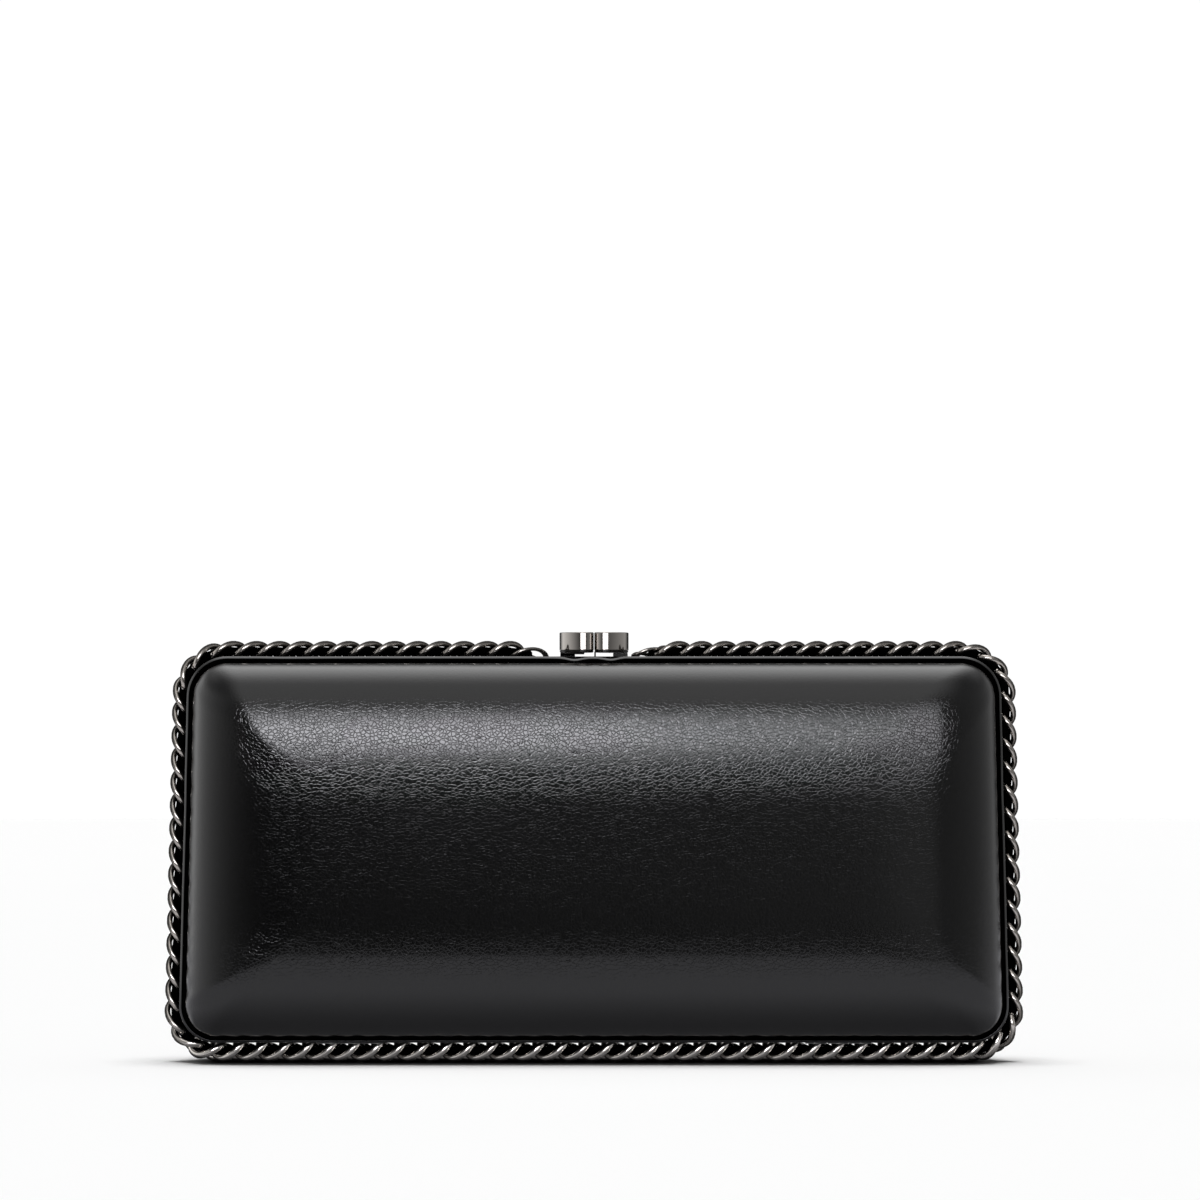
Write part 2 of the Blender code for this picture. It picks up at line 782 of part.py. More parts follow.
def make_materials():
    """Colour, roughness and metallic value of each finish."""
    return {
        "leather": new_material("black_leather", (0.012, 0.012, 0.013), 0.42, 0.0),
        "foam": new_material("grey_foam", (0.25, 0.25, 0.25), 0.95, 0.0),
        "shell": new_material("black_board", (0.03, 0.03, 0.03), 0.7, 0.0),
        "lining": new_material("dark_lining", (0.03, 0.028, 0.03), 0.85, 0.0),
        "frame": new_material("dark_frame", (0.06, 0.06, 0.062), 0.35, 1.0),
        "chain": new_material("gunmetal_chain", (0.13, 0.13, 0.135), 0.25, 1.0),
        "clasp": new_material("polished_gunmetal", (0.42, 0.40, 0.38), 0.12, 1.0),
        "steel": new_material("hinge_steel", (0.35, 0.35, 0.36), 0.3, 1.0),
    }


def main():
    start_scene()
    materials = make_materials()
    axis = bpy.data.objects.new("front_hinge_axis", None)
    axis.location = (0, AXIS_Y, AXIS_Z)
    bpy.data.collections[PARTS].objects.link(axis)
    bpy.context.view_layer.update()
    build_frames(materials, axis)
    build_domes(materials, axis)
    build_chain(materials)
    build_clasp(materials, axis)
    for side_name, centre in (("left", -HINGE_FROM_CENTRE), ("right", HINGE_FROM_CENTRE)):
        build_hinge(side_name, centre, materials, axis)
    bpy.context.view_layer.update()


main()
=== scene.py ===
# %% [markdown]
# A kiss lock clutch is a hard evening bag: two padded, domed halves, a chain round the edge, and two
# knobs that snap past each other. The solids that carry it are already made, so this lesson dresses
# them. It starts by loading them as a frame that never moves. Every new piece takes its place from it.

# %% Load the frame
import math

import bmesh
import bpy
import numpy as np
from mathutils import Matrix, Vector


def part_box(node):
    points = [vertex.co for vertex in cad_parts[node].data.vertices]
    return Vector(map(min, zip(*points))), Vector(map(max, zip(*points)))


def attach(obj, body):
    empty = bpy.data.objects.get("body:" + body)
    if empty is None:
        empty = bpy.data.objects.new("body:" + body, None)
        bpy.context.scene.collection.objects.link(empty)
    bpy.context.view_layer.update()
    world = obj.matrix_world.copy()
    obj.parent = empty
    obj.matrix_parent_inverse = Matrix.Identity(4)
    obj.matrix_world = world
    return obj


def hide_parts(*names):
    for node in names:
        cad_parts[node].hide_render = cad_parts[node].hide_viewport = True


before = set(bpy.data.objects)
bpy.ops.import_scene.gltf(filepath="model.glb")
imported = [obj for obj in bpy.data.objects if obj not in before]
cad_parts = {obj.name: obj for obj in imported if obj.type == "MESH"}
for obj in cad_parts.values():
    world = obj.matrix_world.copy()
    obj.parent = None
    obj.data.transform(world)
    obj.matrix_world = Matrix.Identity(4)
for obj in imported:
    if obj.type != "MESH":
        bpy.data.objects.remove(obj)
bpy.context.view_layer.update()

# %% [markdown]
# The camera stands level, a long way off, so the bag is seen almost without perspective. One pixel of
# the picture is 0.2456 mm at the lip. The middle of the bag is at column 594 of 1200 and the floor
# line at row 1063. The camera's eye is at 75 mm, a little over two thirds of the bag's height, and a
# vertical shift keeps the bag at the bottom of the picture, as a product photographer's lens does.

# %% Camera
PICTURE_PIXELS = 1200
METRES_PER_PIXEL = 0.0002456
BAG_COLUMN = 594
FLOOR_ROW = 1063
EYE_HEIGHT = 0.075
CAMERA_DISTANCE = 1.5
CAMERA_SEES_FROM = 0.1
CAMERA_SEES_TO = 20
SENSOR = 0.036
MILLIMETRES = 1000


def new_object(name, data):
    """An object in the scene that holds a camera, a light or a mesh."""
    made = bpy.data.objects.new(name, data)
    bpy.context.scene.collection.objects.link(made)
    return made


middle_pixel = PICTURE_PIXELS / 2
lip_low, lip_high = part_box("front_lip")
view_width = PICTURE_PIXELS * METRES_PER_PIXEL
view_middle = (FLOOR_ROW - middle_pixel) * METRES_PER_PIXEL
camera_data = bpy.data.cameras.new("camera")
camera_data.sensor_width = SENSOR * MILLIMETRES
camera_data.lens = MILLIMETRES * SENSOR * CAMERA_DISTANCE / view_width
camera_data.shift_y = (view_middle - EYE_HEIGHT) / view_width
camera_data.clip_start = CAMERA_SEES_FROM
camera_data.clip_end = CAMERA_SEES_TO
camera = new_object("camera", camera_data)
camera_side = (middle_pixel - BAG_COLUMN) * METRES_PER_PIXEL
camera.location = (camera_side, lip_low.y - CAMERA_DISTANCE, EYE_HEIGHT)
camera.rotation_euler = (math.pi / 2, 0, 0)
bpy.context.scene.camera = camera
bpy.context.scene.view_settings.view_transform = "Standard"
print("camera lens:", round(camera_data.lens), "mm, shift:", round(camera_data.shift_y, 3))

# %% [markdown]
# Materials and geometry node trees are both graphs of nodes. Wiring them by hand hides the idea behind
# long lists of links, so one small class wraps a socket. Sums written in Python then add their own Math
# nodes, and `node` adds any other kind: its settings are set first, and then its sockets.

# %% Graphs of nodes
class Term:
    """A socket that takes part in sums. Each sum adds a Math node to the socket's graph."""

    def __init__(self, graph, socket):
        self.graph = graph
        self.socket = socket

    def maths(self, operation, *values):
        return self.graph.node("ShaderNodeMath", {"operation": operation}, dict(enumerate(values)))

    def __add__(self, other):
        return self.maths("ADD", self, other)

    def __radd__(self, other):
        return self.maths("ADD", other, self)

    def __sub__(self, other):
        return self.maths("SUBTRACT", self, other)

    def __rsub__(self, other):
        return self.maths("SUBTRACT", other, self)

    def __mul__(self, other):
        return self.maths("MULTIPLY", self, other)

    def __rmul__(self, other):
        return self.maths("MULTIPLY", other, self)

    def __truediv__(self, other):
        return self.maths("DIVIDE", self, other)

    def __rtruediv__(self, other):
        return self.maths("DIVIDE", other, self)

    def __abs__(self):
        return self.maths("ABSOLUTE", self)

    def sine(self):
        return self.maths("SINE", self)

    def cosine(self):
        return self.maths("COSINE", self)

    def at_least(self, least):
        return self.maths("MAXIMUM", self, least)

    def at_most(self, most):
        return self.maths("MINIMUM", self, most)


class Graph:
    """A tree of nodes, of a material, a world or a geometry modifier."""

    def __init__(self, tree):
        self.tree = tree

    def node(self, kind, settings=None, sockets=None, output=0):
        """Adds a node and returns one of its outputs."""
        made = self.tree.nodes.new(kind)
        for name, value in (settings or {}).items():
            setattr(made, name, value)
        for name, value in (sockets or {}).items():
            self.feed(made.inputs[name], value)
        return Term(self, made.outputs[output]) if made.outputs else None

    def feed(self, socket, value):
        """Links a term to a socket, or sets the socket to a plain value."""
        if isinstance(value, Term):
            self.tree.links.new(value.socket, socket)
        else:
            socket.default_value = value

    def output(self, term, name):
        """Another output of the node that a term comes from."""
        return Term(self, term.socket.node.outputs[name])

    def axes(self, vector):
        """The X, Y and Z of a vector."""
        x = self.node("ShaderNodeSeparateXYZ", None, {0: vector})
        return x, self.output(x, "Y"), self.output(x, "Z")

    def stretch(self, vector, shares):
        """A vector with each axis multiplied by its own share."""
        return self.node("ShaderNodeVectorMath", {"operation": "MULTIPLY"}, {0: vector, 1: shares})

    def ramp(self, value, low, high):
        """0 where a value is under `low`, 1 where it is over `high`, and smooth between them."""
        sockets = {"Value": value, "From Min": low, "From Max": high}
        return self.node("ShaderNodeMapRange", {"interpolation_type": "SMOOTHSTEP"}, sockets)

    def blend(self, factor, first, second):
        """A colour between two others."""
        return self.node("ShaderNodeMix", {"data_type": "RGBA"}, {0: factor, 6: first, 7: second}, 2)


# %% [markdown]
# A finish is a material with one Principled shader, which does for leather, foam, cloth and metal. Its
# patterns read the place on the piece's own object, so they stay on the surface when the cover opens.

# %% Finishes
class Finish(Graph):
    """A material's graph round one Principled shader, with plain values for some of its sockets."""

    def __init__(self, name, values):
        self.material = bpy.data.materials.new(name)
        self.material.use_nodes = True
        super().__init__(self.material.node_tree)
        self.shader = self.tree.nodes["Principled BSDF"]
        self.place = self.node("ShaderNodeTexCoord", output="Object")
        for socket, value in values.items():
            self.set(socket, value)

    def set(self, name, value):
        self.feed(self.shader.inputs[name], value)

    def noise(self, scale, detail=2.0, place=None, output="Fac"):
        sockets = {"Vector": place or self.place, "Scale": scale, "Detail": detail}
        return self.node("ShaderNodeTexNoise", None, sockets, output)

    def attribute(self, name):
        """A number that the mesh stores at its points."""
        return self.node("ShaderNodeAttribute", {"attribute_name": name}, output="Fac")

    def bump(self, height, distance):
        self.set("Normal", self.node("ShaderNodeBump", None, {"Height": height, "Distance": distance}))


# %% [markdown]
# The picture has no visible room: a white floor runs into a white background. The pieces of the stage
# are flat and are no part of the bag. Some of them only glow, so the helper that makes their material
# takes a function that says how strong the glow is at a place.

# %% Pieces of the stage
GLOW_COLOUR = (1, 1, 1.05, 1)


def stage_piece(name, corners, material):
    """A flat piece of the stage through corner points."""
    mesh = bpy.data.meshes.new(name)
    mesh.from_pydata(corners, [], [tuple(range(len(corners)))])
    mesh.materials.append(material)
    obj = new_object(name, mesh)
    return obj


def glowing(name, strength_of, see_through):
    """A stage material that glows with a strength worked out from the place on the piece."""
    material = bpy.data.materials.new(name)
    material.use_nodes = True
    material.node_tree.nodes.clear()
    glow = Graph(material.node_tree)
    strength = strength_of(glow, glow.node("ShaderNodeTexCoord", output="Object"))
    surface = glow.node("ShaderNodeEmission", None, {"Color": GLOW_COLOUR, "Strength": strength})
    if see_through:
        clear = glow.node("ShaderNodeBsdfTransparent")
        surface = glow.node("ShaderNodeAddShader", None, {0: surface, 1: clear})
    glow.node("ShaderNodeOutputMaterial", None, {"Surface": surface})
    return material


# %% [markdown]
# The floor is a wide pale disc. The bag leaves a thin dark line where it stands, darker than the light
# of this studio gives, so a dark strip with soft edges is painted on the floor under it. When the cover
# is open, its dome is lower than the table's face. An Ambient Occlusion node that looks inwards finds
# where something lies close below the floor, and the floor turns clear there.

# %% Floor
FLOOR_RADIUS = 6.0
FLOOR_CORNERS = 64
FLOOR_ALBEDO = 0.9
FLOOR_ROUGHNESS = 0.9
UNDER_COLOUR = (0.01, 0.01, 0.01, 1)
UNDER_HALF_WIDTHS = (0.092, 0.104)
UNDER_HALF_DEPTHS = (0.004, 0.026)
SUNK_DISTANCE = 0.02
SUNK_SAMPLES = 8
SUNK_LEVELS = (0.55, 0.80)

pale_floor = Finish("pale_floor", {"Roughness": FLOOR_ROUGHNESS, "Specular IOR Level": 0.0})
floor_x, floor_y, _ = pale_floor.axes(pale_floor.place)
beside = pale_floor.ramp(abs(floor_x), *UNDER_HALF_WIDTHS)
in_front = pale_floor.ramp(abs(floor_y), *UNDER_HALF_DEPTHS)
lit = 1 - (1 - beside) * (1 - in_front)
floor_white = (FLOOR_ALBEDO, FLOOR_ALBEDO, FLOOR_ALBEDO, 1)
pale_floor.set("Base Color", pale_floor.blend(lit, UNDER_COLOUR, floor_white))

inwards = {"inside": True, "samples": SUNK_SAMPLES}
free_below = pale_floor.node("ShaderNodeAmbientOcclusion", inwards, {"Distance": SUNK_DISTANCE}, "AO")
solid_share = pale_floor.ramp(free_below, *SUNK_LEVELS)
clear = pale_floor.node("ShaderNodeBsdfTransparent")
painted = Term(pale_floor, pale_floor.shader.outputs["BSDF"])
floor_surface = pale_floor.node("ShaderNodeMixShader", None, {0: solid_share, 1: clear, 2: painted})
pale_floor.feed(pale_floor.tree.nodes["Material Output"].inputs["Surface"], floor_surface)

turns = [2 * math.pi * step / FLOOR_CORNERS for step in range(FLOOR_CORNERS)]
disc = [(FLOOR_RADIUS * math.cos(turn), FLOOR_RADIUS * math.sin(turn), 0) for turn in turns]
floor = stage_piece("floor", disc, pale_floor.material)
floor.visible_glossy = False
print("floor:", FLOOR_RADIUS * 2, "m across")

# %% [markdown]
# Black leather shows the studio as reflections and hardly anything else. The photographed leather sees
# a white floor only close to it, so gloss sees a card in place of the floor, which ends 155 mm in front
# of the bag and is darker near it. The softbox above the camera draws the bright band along the top
# shoulder. Only gloss sees these two, so they cast no light on the floor.

# %% Card and softbox
CARD_FRONT = 0.155
CARD_BACK = 1.5
CARD_HALF_WIDTH = 1.2
CARD_LIFT = 0.00004
CARD_LEVEL = 0.78
CARD_SHADE_LEVEL = 0.12
CARD_SHADE_START = 0.0
CARD_SHADE_END = 0.050
CARD_SHADE_HALF_WIDTH = 0.095
SOFTBOX_DISTANCE = 0.9
SOFTBOX_LOW = 0.105
SOFTBOX_FULL = 0.27
SOFTBOX_FADING = 0.30
SOFTBOX_HIGH = 0.90
SOFTBOX_LEFT = -0.37
SOFTBOX_LEFT_FADE = 0.16
SOFTBOX_RIGHT = 0.42
SOFTBOX_STRENGTH = 11.5
SOFTBOX_RIGHT_STRENGTH = 4.6
SOFTBOX_WEAKENS = (0.09, -0.04)


def card_glow(glow, place):
    """White, and darker close to the bag, where the bag shades the floor."""
    x, y, _ = glow.axes(place)
    from_bag = abs(y) + (abs(x) - CARD_SHADE_HALF_WIDTH).at_least(0.0)
    lit = glow.ramp(from_bag, CARD_SHADE_START, CARD_SHADE_END)
    return (CARD_SHADE_LEVEL + lit * (1 - CARD_SHADE_LEVEL)) * CARD_LEVEL


def softbox_glow(glow, place):
    """Brightest a quarter of the way up, fading to its lower and upper edge, and stronger on the left."""
    x, _, z = glow.axes(place)
    level = SOFTBOX_RIGHT_STRENGTH
    level += glow.ramp(x, *SOFTBOX_WEAKENS) * (SOFTBOX_STRENGTH - SOFTBOX_RIGHT_STRENGTH)
    start = glow.ramp(x, SOFTBOX_LEFT, SOFTBOX_LEFT + SOFTBOX_LEFT_FADE)
    fading = glow.ramp(z, SOFTBOX_HIGH, SOFTBOX_FADING)
    return level * start * glow.ramp(z, SOFTBOX_LOW, SOFTBOX_FULL) * fading * fading


card_corners = [
    (-CARD_HALF_WIDTH, -CARD_FRONT, CARD_LIFT),
    (CARD_HALF_WIDTH, -CARD_FRONT, CARD_LIFT),
    (CARD_HALF_WIDTH, CARD_BACK, CARD_LIFT),
    (-CARD_HALF_WIDTH, CARD_BACK, CARD_LIFT),
]
softbox_corners = [
    (SOFTBOX_LEFT, -SOFTBOX_DISTANCE, SOFTBOX_LOW),
    (SOFTBOX_RIGHT, -SOFTBOX_DISTANCE, SOFTBOX_LOW),
    (SOFTBOX_RIGHT, -SOFTBOX_DISTANCE, SOFTBOX_HIGH),
    (SOFTBOX_LEFT, -SOFTBOX_DISTANCE, SOFTBOX_HIGH),
]
card = stage_piece("floor_in_gloss", card_corners, glowing("floor_in_gloss", card_glow, False))
softbox = stage_piece("softbox", softbox_corners, glowing("softbox", softbox_glow, True))
for unseen in (card, softbox):
    unseen.visible_camera = False
    unseen.visible_shadow = False
    unseen.visible_transmission = False
    unseen.visible_diffuse = False
print("seen in gloss only: a card on the floor and a softbox")

# %% [markdown]
# The world does the rest: white above and at the sides, dark in front, which is why the middle of the
# leather looks black, and dark straight behind, so that the edges of the metal stay dark. To the camera
# itself the world is plain white. A large soft sun overhead, which gloss doesn't see, keeps the floor
# as white as the background.

# %% World and overhead light
LEFT_LEVELS = (0.02, 1.0)
RIGHT_LEVELS = (0.18, 0.32)
LEFT_TO_RIGHT = (-0.15, 0.12)
SIDE_LIMIT = 1.5
GLOW_DIRECTION = (0.208, -0.978, 0.0)
GLOW_COSINES = (0.976, 0.996)
GLOW_LEVEL = 0.14
CEILING_HEIGHTS = (0.42, 0.72)
CEILING_LEVEL = 1.1
OVERHEAD_HEIGHTS = (0.55, 0.85)
OVERHEAD_DEPTHS = (-0.35, 0.30)
OVERHEAD_LEVEL = 1.8
CORNER_SIDES = (0.12, 0.55)
CORNER_SHADE = 0.72
BACK_DEPTHS = (0.50, 0.86)
BACK_SHADE = 0.94
DIFFUSE_SHADE = 0.72
CAMERA_LEVEL = 1.02
SUN_STRENGTH = 2.6
SUN_SPREAD = 28

world = bpy.data.worlds.new("studio")
bpy.context.scene.world = world
world.use_nodes = True
world.node_tree.nodes.clear()
studio = Graph(world.node_tree)
direction = studio.node("ShaderNodeTexCoord")
sideways, to_back, to_top = studio.axes(direction)

to_right = studio.ramp(sideways, *LEFT_TO_RIGHT)
start_level = LEFT_LEVELS[0] + to_right * (RIGHT_LEVELS[0] - LEFT_LEVELS[0])
slope = LEFT_LEVELS[1] + to_right * (RIGHT_LEVELS[1] - LEFT_LEVELS[1])
side_light = start_level + (to_back + 1).at_most(SIDE_LIMIT) * slope
glow_sockets = {0: direction, 1: GLOW_DIRECTION}
glow_cosine = studio.node("ShaderNodeVectorMath", {"operation": "DOT_PRODUCT"}, glow_sockets, 1)
side_light = side_light + studio.ramp(glow_cosine, *GLOW_COSINES) * GLOW_LEVEL

overhead = studio.ramp(to_top, *OVERHEAD_HEIGHTS) * studio.ramp(to_back, *OVERHEAD_DEPTHS) * OVERHEAD_LEVEL
corners_shaded = 1 - studio.ramp(abs(sideways), *CORNER_SIDES) * CORNER_SHADE
above = (CEILING_LEVEL + overhead) * corners_shaded
ceiling = studio.ramp(to_top, *CEILING_HEIGHTS)
seen = side_light * (1 - ceiling) + above * ceiling
seen = seen * (1 - studio.ramp(to_back, *BACK_DEPTHS) * BACK_SHADE)

to_camera = studio.node("ShaderNodeLightPath", output="Is Camera Ray")
seen = seen * (1 - studio.output(to_camera, "Is Diffuse Ray") * DIFFUSE_SHADE)
strength = seen + to_camera * (CAMERA_LEVEL - seen)
background = studio.node("ShaderNodeBackground", None, {"Color": (1, 1, 1, 1), "Strength": strength})
studio.node("ShaderNodeOutputWorld", None, {"Surface": background})

sun_data = bpy.data.lights.new("overhead", "SUN")
sun_data.energy = SUN_STRENGTH
sun_data.angle = math.radians(SUN_SPREAD)
sun = new_object("overhead", sun_data)
sun.visible_glossy = False
print("world: white above and at the sides, dark in front")

# %% [markdown]
# The bag's outline, seen from the front, is a rounded box that is a little wider at the bottom. Nearly
# every piece follows it at some distance inside the lip's edge. One function gives its points and the
# directions that point out of it, anticlockwise from the bottom right.

# %% Outline of the bag
LIP_WIDTH_BOTTOM = 0.2043
LIP_WIDTH_TOP = 0.1997
CORNER_BOTTOM = 0.0090
CORNER_TOP = 0.0100
CORNER_STEPS = 16
SIDE_STEPS = 96
LENGTH_STEPS = 220
HALVES = (("front", -1, "front_cover"), ("rear", 1, "rear_half"))

side_lean = (LIP_WIDTH_BOTTOM - LIP_WIDTH_TOP) / (2 * (lip_high.z - lip_low.z))


def corner_centre(number, inset, drop=0.0):
    """A sharp corner of the box, `inset` inside the lip, its bottom edge lowered by `drop`."""
    low = lip_low.z + inset - drop
    high = lip_high.z - inset
    z = (low, high, high, low)[number]
    half = LIP_WIDTH_BOTTOM / 2 - (z - lip_low.z) * side_lean - inset * math.hypot(1, side_lean)
    return np.array([(half, half, -half, -half)[number], z])


def corner_turn(number):
    """Start and end angle of a corner's arc."""
    lean = math.atan(side_lean)
    quarter = math.pi / 2
    starts = (-quarter, lean, quarter, 2 * quarter - lean)
    ends = (lean, quarter, 2 * quarter - lean, 3 * quarter)
    return starts[number], ends[number]


def outline(inset, radii, drop=0.0):
    """Points (x, z) of the rounded box and the outward directions there."""
    arcs = []
    turns = []
    for number, radius in enumerate(radii):
        angles = np.linspace(*corner_turn(number), CORNER_STEPS + 1)
        outwards = np.stack([np.cos(angles), np.sin(angles)], 1)
        arcs.append(corner_centre(number, inset + radius, drop) + radius * outwards)
        turns.append(outwards)
    points = []
    ways = []
    for number in range(4):
        steps = SIDE_STEPS if number % 2 == 0 else LENGTH_STEPS
        shares = np.arange(1, steps)[:, None] / steps
        start = arcs[number][-1]
        points += [arcs[number], start + (arcs[(number + 1) % 4][0] - start) * shares]
        ways += [turns[number], np.repeat(turns[number][-1:], steps - 1, 0)]
    return np.concatenate(points), np.concatenate(ways)


lip_radii = (CORNER_BOTTOM, CORNER_TOP, CORNER_TOP, CORNER_BOTTOM)
lip_line, lip_ways = outline(0.0, lip_radii)
lip_steps = np.linalg.norm(np.roll(lip_line, -1, 0) - lip_line, axis=1)
lip_length = lip_steps.sum()
lip_places = np.concatenate([[0], np.cumsum(lip_steps)[:-1]])
around = 2 * np.pi * lip_places / lip_length
RING = len(lip_line)
print("outline:", RING, "points,", round(lip_length * MILLIMETRES), "mm round")

# %% [markdown]
# A dome or a lip is a loft: rings of equal numbers of points, joined by strips of faces. A flat ring at
# the middle of a dome is filled with strips from its top edge to its bottom edge, which keeps the
# faces four-sided. The helpers below turn rings into a closed mesh and put a piece in the scene.
# Leather wavers where hands folded it, and a few sine waves round the outline give that without chance.

# %% Lofts and pieces
SHARP_ANGLE = 40


def ring_faces(first, second, count):
    """Faces between two rings, given by the numbers of their first points."""
    here = np.arange(count)
    beside = np.roll(here, -1)
    return np.stack([first + here, first + beside, second + beside, second + here], 1).tolist()


def cap_faces(first):
    """Strips that fill a ring of the outline from its top edge to its bottom edge."""
    turn = 2 * CORNER_STEPS + SIDE_STEPS
    faces = []
    for here in range(turn // 2, turn // 2 + RING // 2):
        strip = (here, here + 1, turn - here - 1, turn - here)
        faces.append(list(dict.fromkeys(first + place % RING for place in strip)))
    return faces


def smooth_faces(mesh, sharp_angle):
    """Shades a mesh smooth but for its sharp edges."""
    mesh.shade_smooth()
    mesh.set_sharp_from_angle(angle=math.radians(sharp_angle))


def closed_mesh(name, points, faces):
    """A closed mesh with its faces pointing out."""
    mesh = bpy.data.meshes.new(name)
    mesh.from_pydata(np.asarray(points).tolist(), [], faces)
    bm = bmesh.new()
    bm.from_mesh(mesh)
    bmesh.ops.recalc_face_normals(bm, faces=bm.faces)
    bm.to_mesh(mesh)
    bm.free()
    smooth_faces(mesh, SHARP_ANGLE)
    return mesh


def waver(waves):
    """A sum of sine waves round the outline, each given by its size, count and start."""
    return sum(size * np.sin(count * around + start) for size, count, start in waves)


def add_piece(mesh, finish, body, slot, *stands_for):
    """A piece of the bag that rides on a body and stands for some of the frame's solids."""
    mesh.materials.clear()
    mesh.materials.append(finish.material)
    piece = new_object(mesh.name, mesh)
    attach(piece, body)
    if stands_for:
        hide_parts(*stands_for)
    return piece


# %% [markdown]
# The leather is black, with a soft shine and a fine wrinkled grain. Voronoi cells, warped by noise and
# stretched along the bag, make the grain as a bump. The domes carry the grain's strength as an
# attribute, because it shows most where the two shoulders turn and least where the leather is pulled
# tight. The ribbon between the links and the seam in the groove get no shine at all. This is painted
# shade, which keeps them as black as the shade that falls there.

# %% Leather
LEATHER_COLOUR = (0.0022, 0.0022, 0.0024, 1)
LEATHER_ROUGHNESS = 0.095
LIP_COLOUR = (0.003, 0.003, 0.003, 1)
LIP_ROUGHNESS = 0.07
RIBBON_COLOUR = (0.002, 0.002, 0.002, 1)
RIBBON_ROUGHNESS = 0.35
PATCH_SCALE = 45
PATCH_ROUGHNESS = 0.03
GRAIN_SCALE = 1200
GRAIN_HEIGHT = 0.000036
GRAIN_STRETCH = (0.88, 1.0, 1.0)
GRAIN_WARP = 0.0011
WANDER_SHARE = 0.35
WAVES_SHARE = 0.6
FINE_SHARE = 1.7
CREASE_WIDTH = 0.16
PEBBLE_WEIGHT = 0.7
FINE_WEIGHT = 0.3
WAVES_WEIGHT = 0.5


def leather_finish(name, colour, roughness, grain_scale, grain_height, share_attribute=None):
    """Leather with a grain, which an attribute of the mesh can weaken from place to place."""
    finish = Finish(name, {"Base Color": colour})
    stretched = finish.stretch(finish.place, GRAIN_STRETCH)
    wander = finish.noise(grain_scale * WANDER_SHARE, output="Color")
    warp_sockets = {0: wander, 1: (GRAIN_WARP,) * 3, 2: stretched}
    warped = finish.node("ShaderNodeVectorMath", {"operation": "MULTIPLY_ADD"}, warp_sockets)
    settings = {"feature": "DISTANCE_TO_EDGE"}
    cells = finish.node("ShaderNodeTexVoronoi", settings, {"Vector": warped, "Scale": grain_scale})
    pebbles = finish.ramp(cells, 0.0, CREASE_WIDTH)
    fine = finish.noise(grain_scale * FINE_SHARE)
    waves = finish.noise(grain_scale * WAVES_SHARE, place=stretched)
    height = pebbles * PEBBLE_WEIGHT + fine * FINE_WEIGHT + waves * WAVES_WEIGHT
    if share_attribute:
        height = height * finish.attribute(share_attribute)
    patches = finish.noise(PATCH_SCALE)
    finish.set("Roughness", roughness - PATCH_ROUGHNESS / 2 + patches * PATCH_ROUGHNESS)
    finish.bump(height, grain_height)
    return finish


panel_leather = leather_finish(
    "black_leather", LEATHER_COLOUR, LEATHER_ROUGHNESS, GRAIN_SCALE, GRAIN_HEIGHT, "grain_share"
)
lip_leather = leather_finish(
    "lip_leather", LIP_COLOUR, LIP_ROUGHNESS, grain_scale=1600, grain_height=0.0000008
)
ribbon_leather, groove_leather = (
    leather_finish(name, RIBBON_COLOUR, RIBBON_ROUGHNESS, grain_scale=1500, grain_height=0.000001)
    for name in ("ribbon_leather", "groove_leather")
)
# No shine on the ribbon and in the groove: painted shade.
for painted_shade_finish in (ribbon_leather, groove_leather):
    painted_shade_finish.set("Specular IOR Level", 0.0)
print("leather: panel, lip, ribbon and groove")

# %% [markdown]
# Each half of the bag is a stack of domed layers: leather over foam, a hard shell, and a lining glued
# inside. The dome's profile rises steeply out of the groove behind the lip, rolls over the shoulder and
# runs nearly flat across the middle. Its corners open out inwards, which gives the soft folds of light
# that run in from the corners. A formula gives all of this exactly, which a cloth simulation would only
# come near. This cell holds the formula.

# %% Shape of a dome
PANEL_INSET = 0.00125
DOME_HEIGHT = 0.0158
DOME_REACH = (lip_high.z - lip_low.z) / 2 - PANEL_INSET
FALL_POWER = 5.0
ROUND_POWER = 2.0
OPEN_RADII = (0.009, 0.014, 0.002, 0.003)
OPEN_DISTANCE = 0.018
OPEN_LIMIT = 0.85


def smooth_ramp(values, low, high):
    """The ramp of a graph, for an array."""
    shares = np.clip((values - low) / (high - low), 0.0, 1.0)
    return shares * shares * (3 - 2 * shares)


def ring_radii(inset):
    """Corner radii of a ring of the dome, which open out towards the middle."""
    share = min(1.0, max(0.0, inset - PANEL_INSET) / OPEN_DISTANCE)
    eased = share * share * (3 - 2 * share)
    limit = OPEN_LIMIT * ((lip_high.z - lip_low.z) / 2 - inset)
    radii = []
    for corner, open_radius in zip(lip_radii, OPEN_RADII):
        tight = corner - PANEL_INSET
        radii.append(min(limit, tight + (open_radius - tight) * eased))
    return radii


def dome_profile(shares, depth):
    """Insets and heights of a layer, `depth` below the leather's face, from the rim to the middle."""
    left = 1 - shares
    rise = 1 - left**FALL_POWER
    across = DOME_HEIGHT / DOME_REACH * FALL_POWER / ROUND_POWER * left ** (FALL_POWER - 1)
    tilt = np.arctan2(across, rise ** (1 - 1 / ROUND_POWER))
    inset = PANEL_INSET + shares * DOME_REACH + depth * np.sin(tilt)
    height = DOME_HEIGHT * rise ** (1 / ROUND_POWER) - depth * np.cos(tilt)
    return inset, height


# %% [markdown]
# The leather is drawn down by a seam under the lip, so its rim drops straight into the groove and is
# gently scalloped. The puckers are as far apart as the seam's stitches and waver in place and depth.
# Each layer is a loft with an outer face, from the rim to the middle, and an inner face back again. Its
# rings crowd near the rim, where the surface turns fastest.

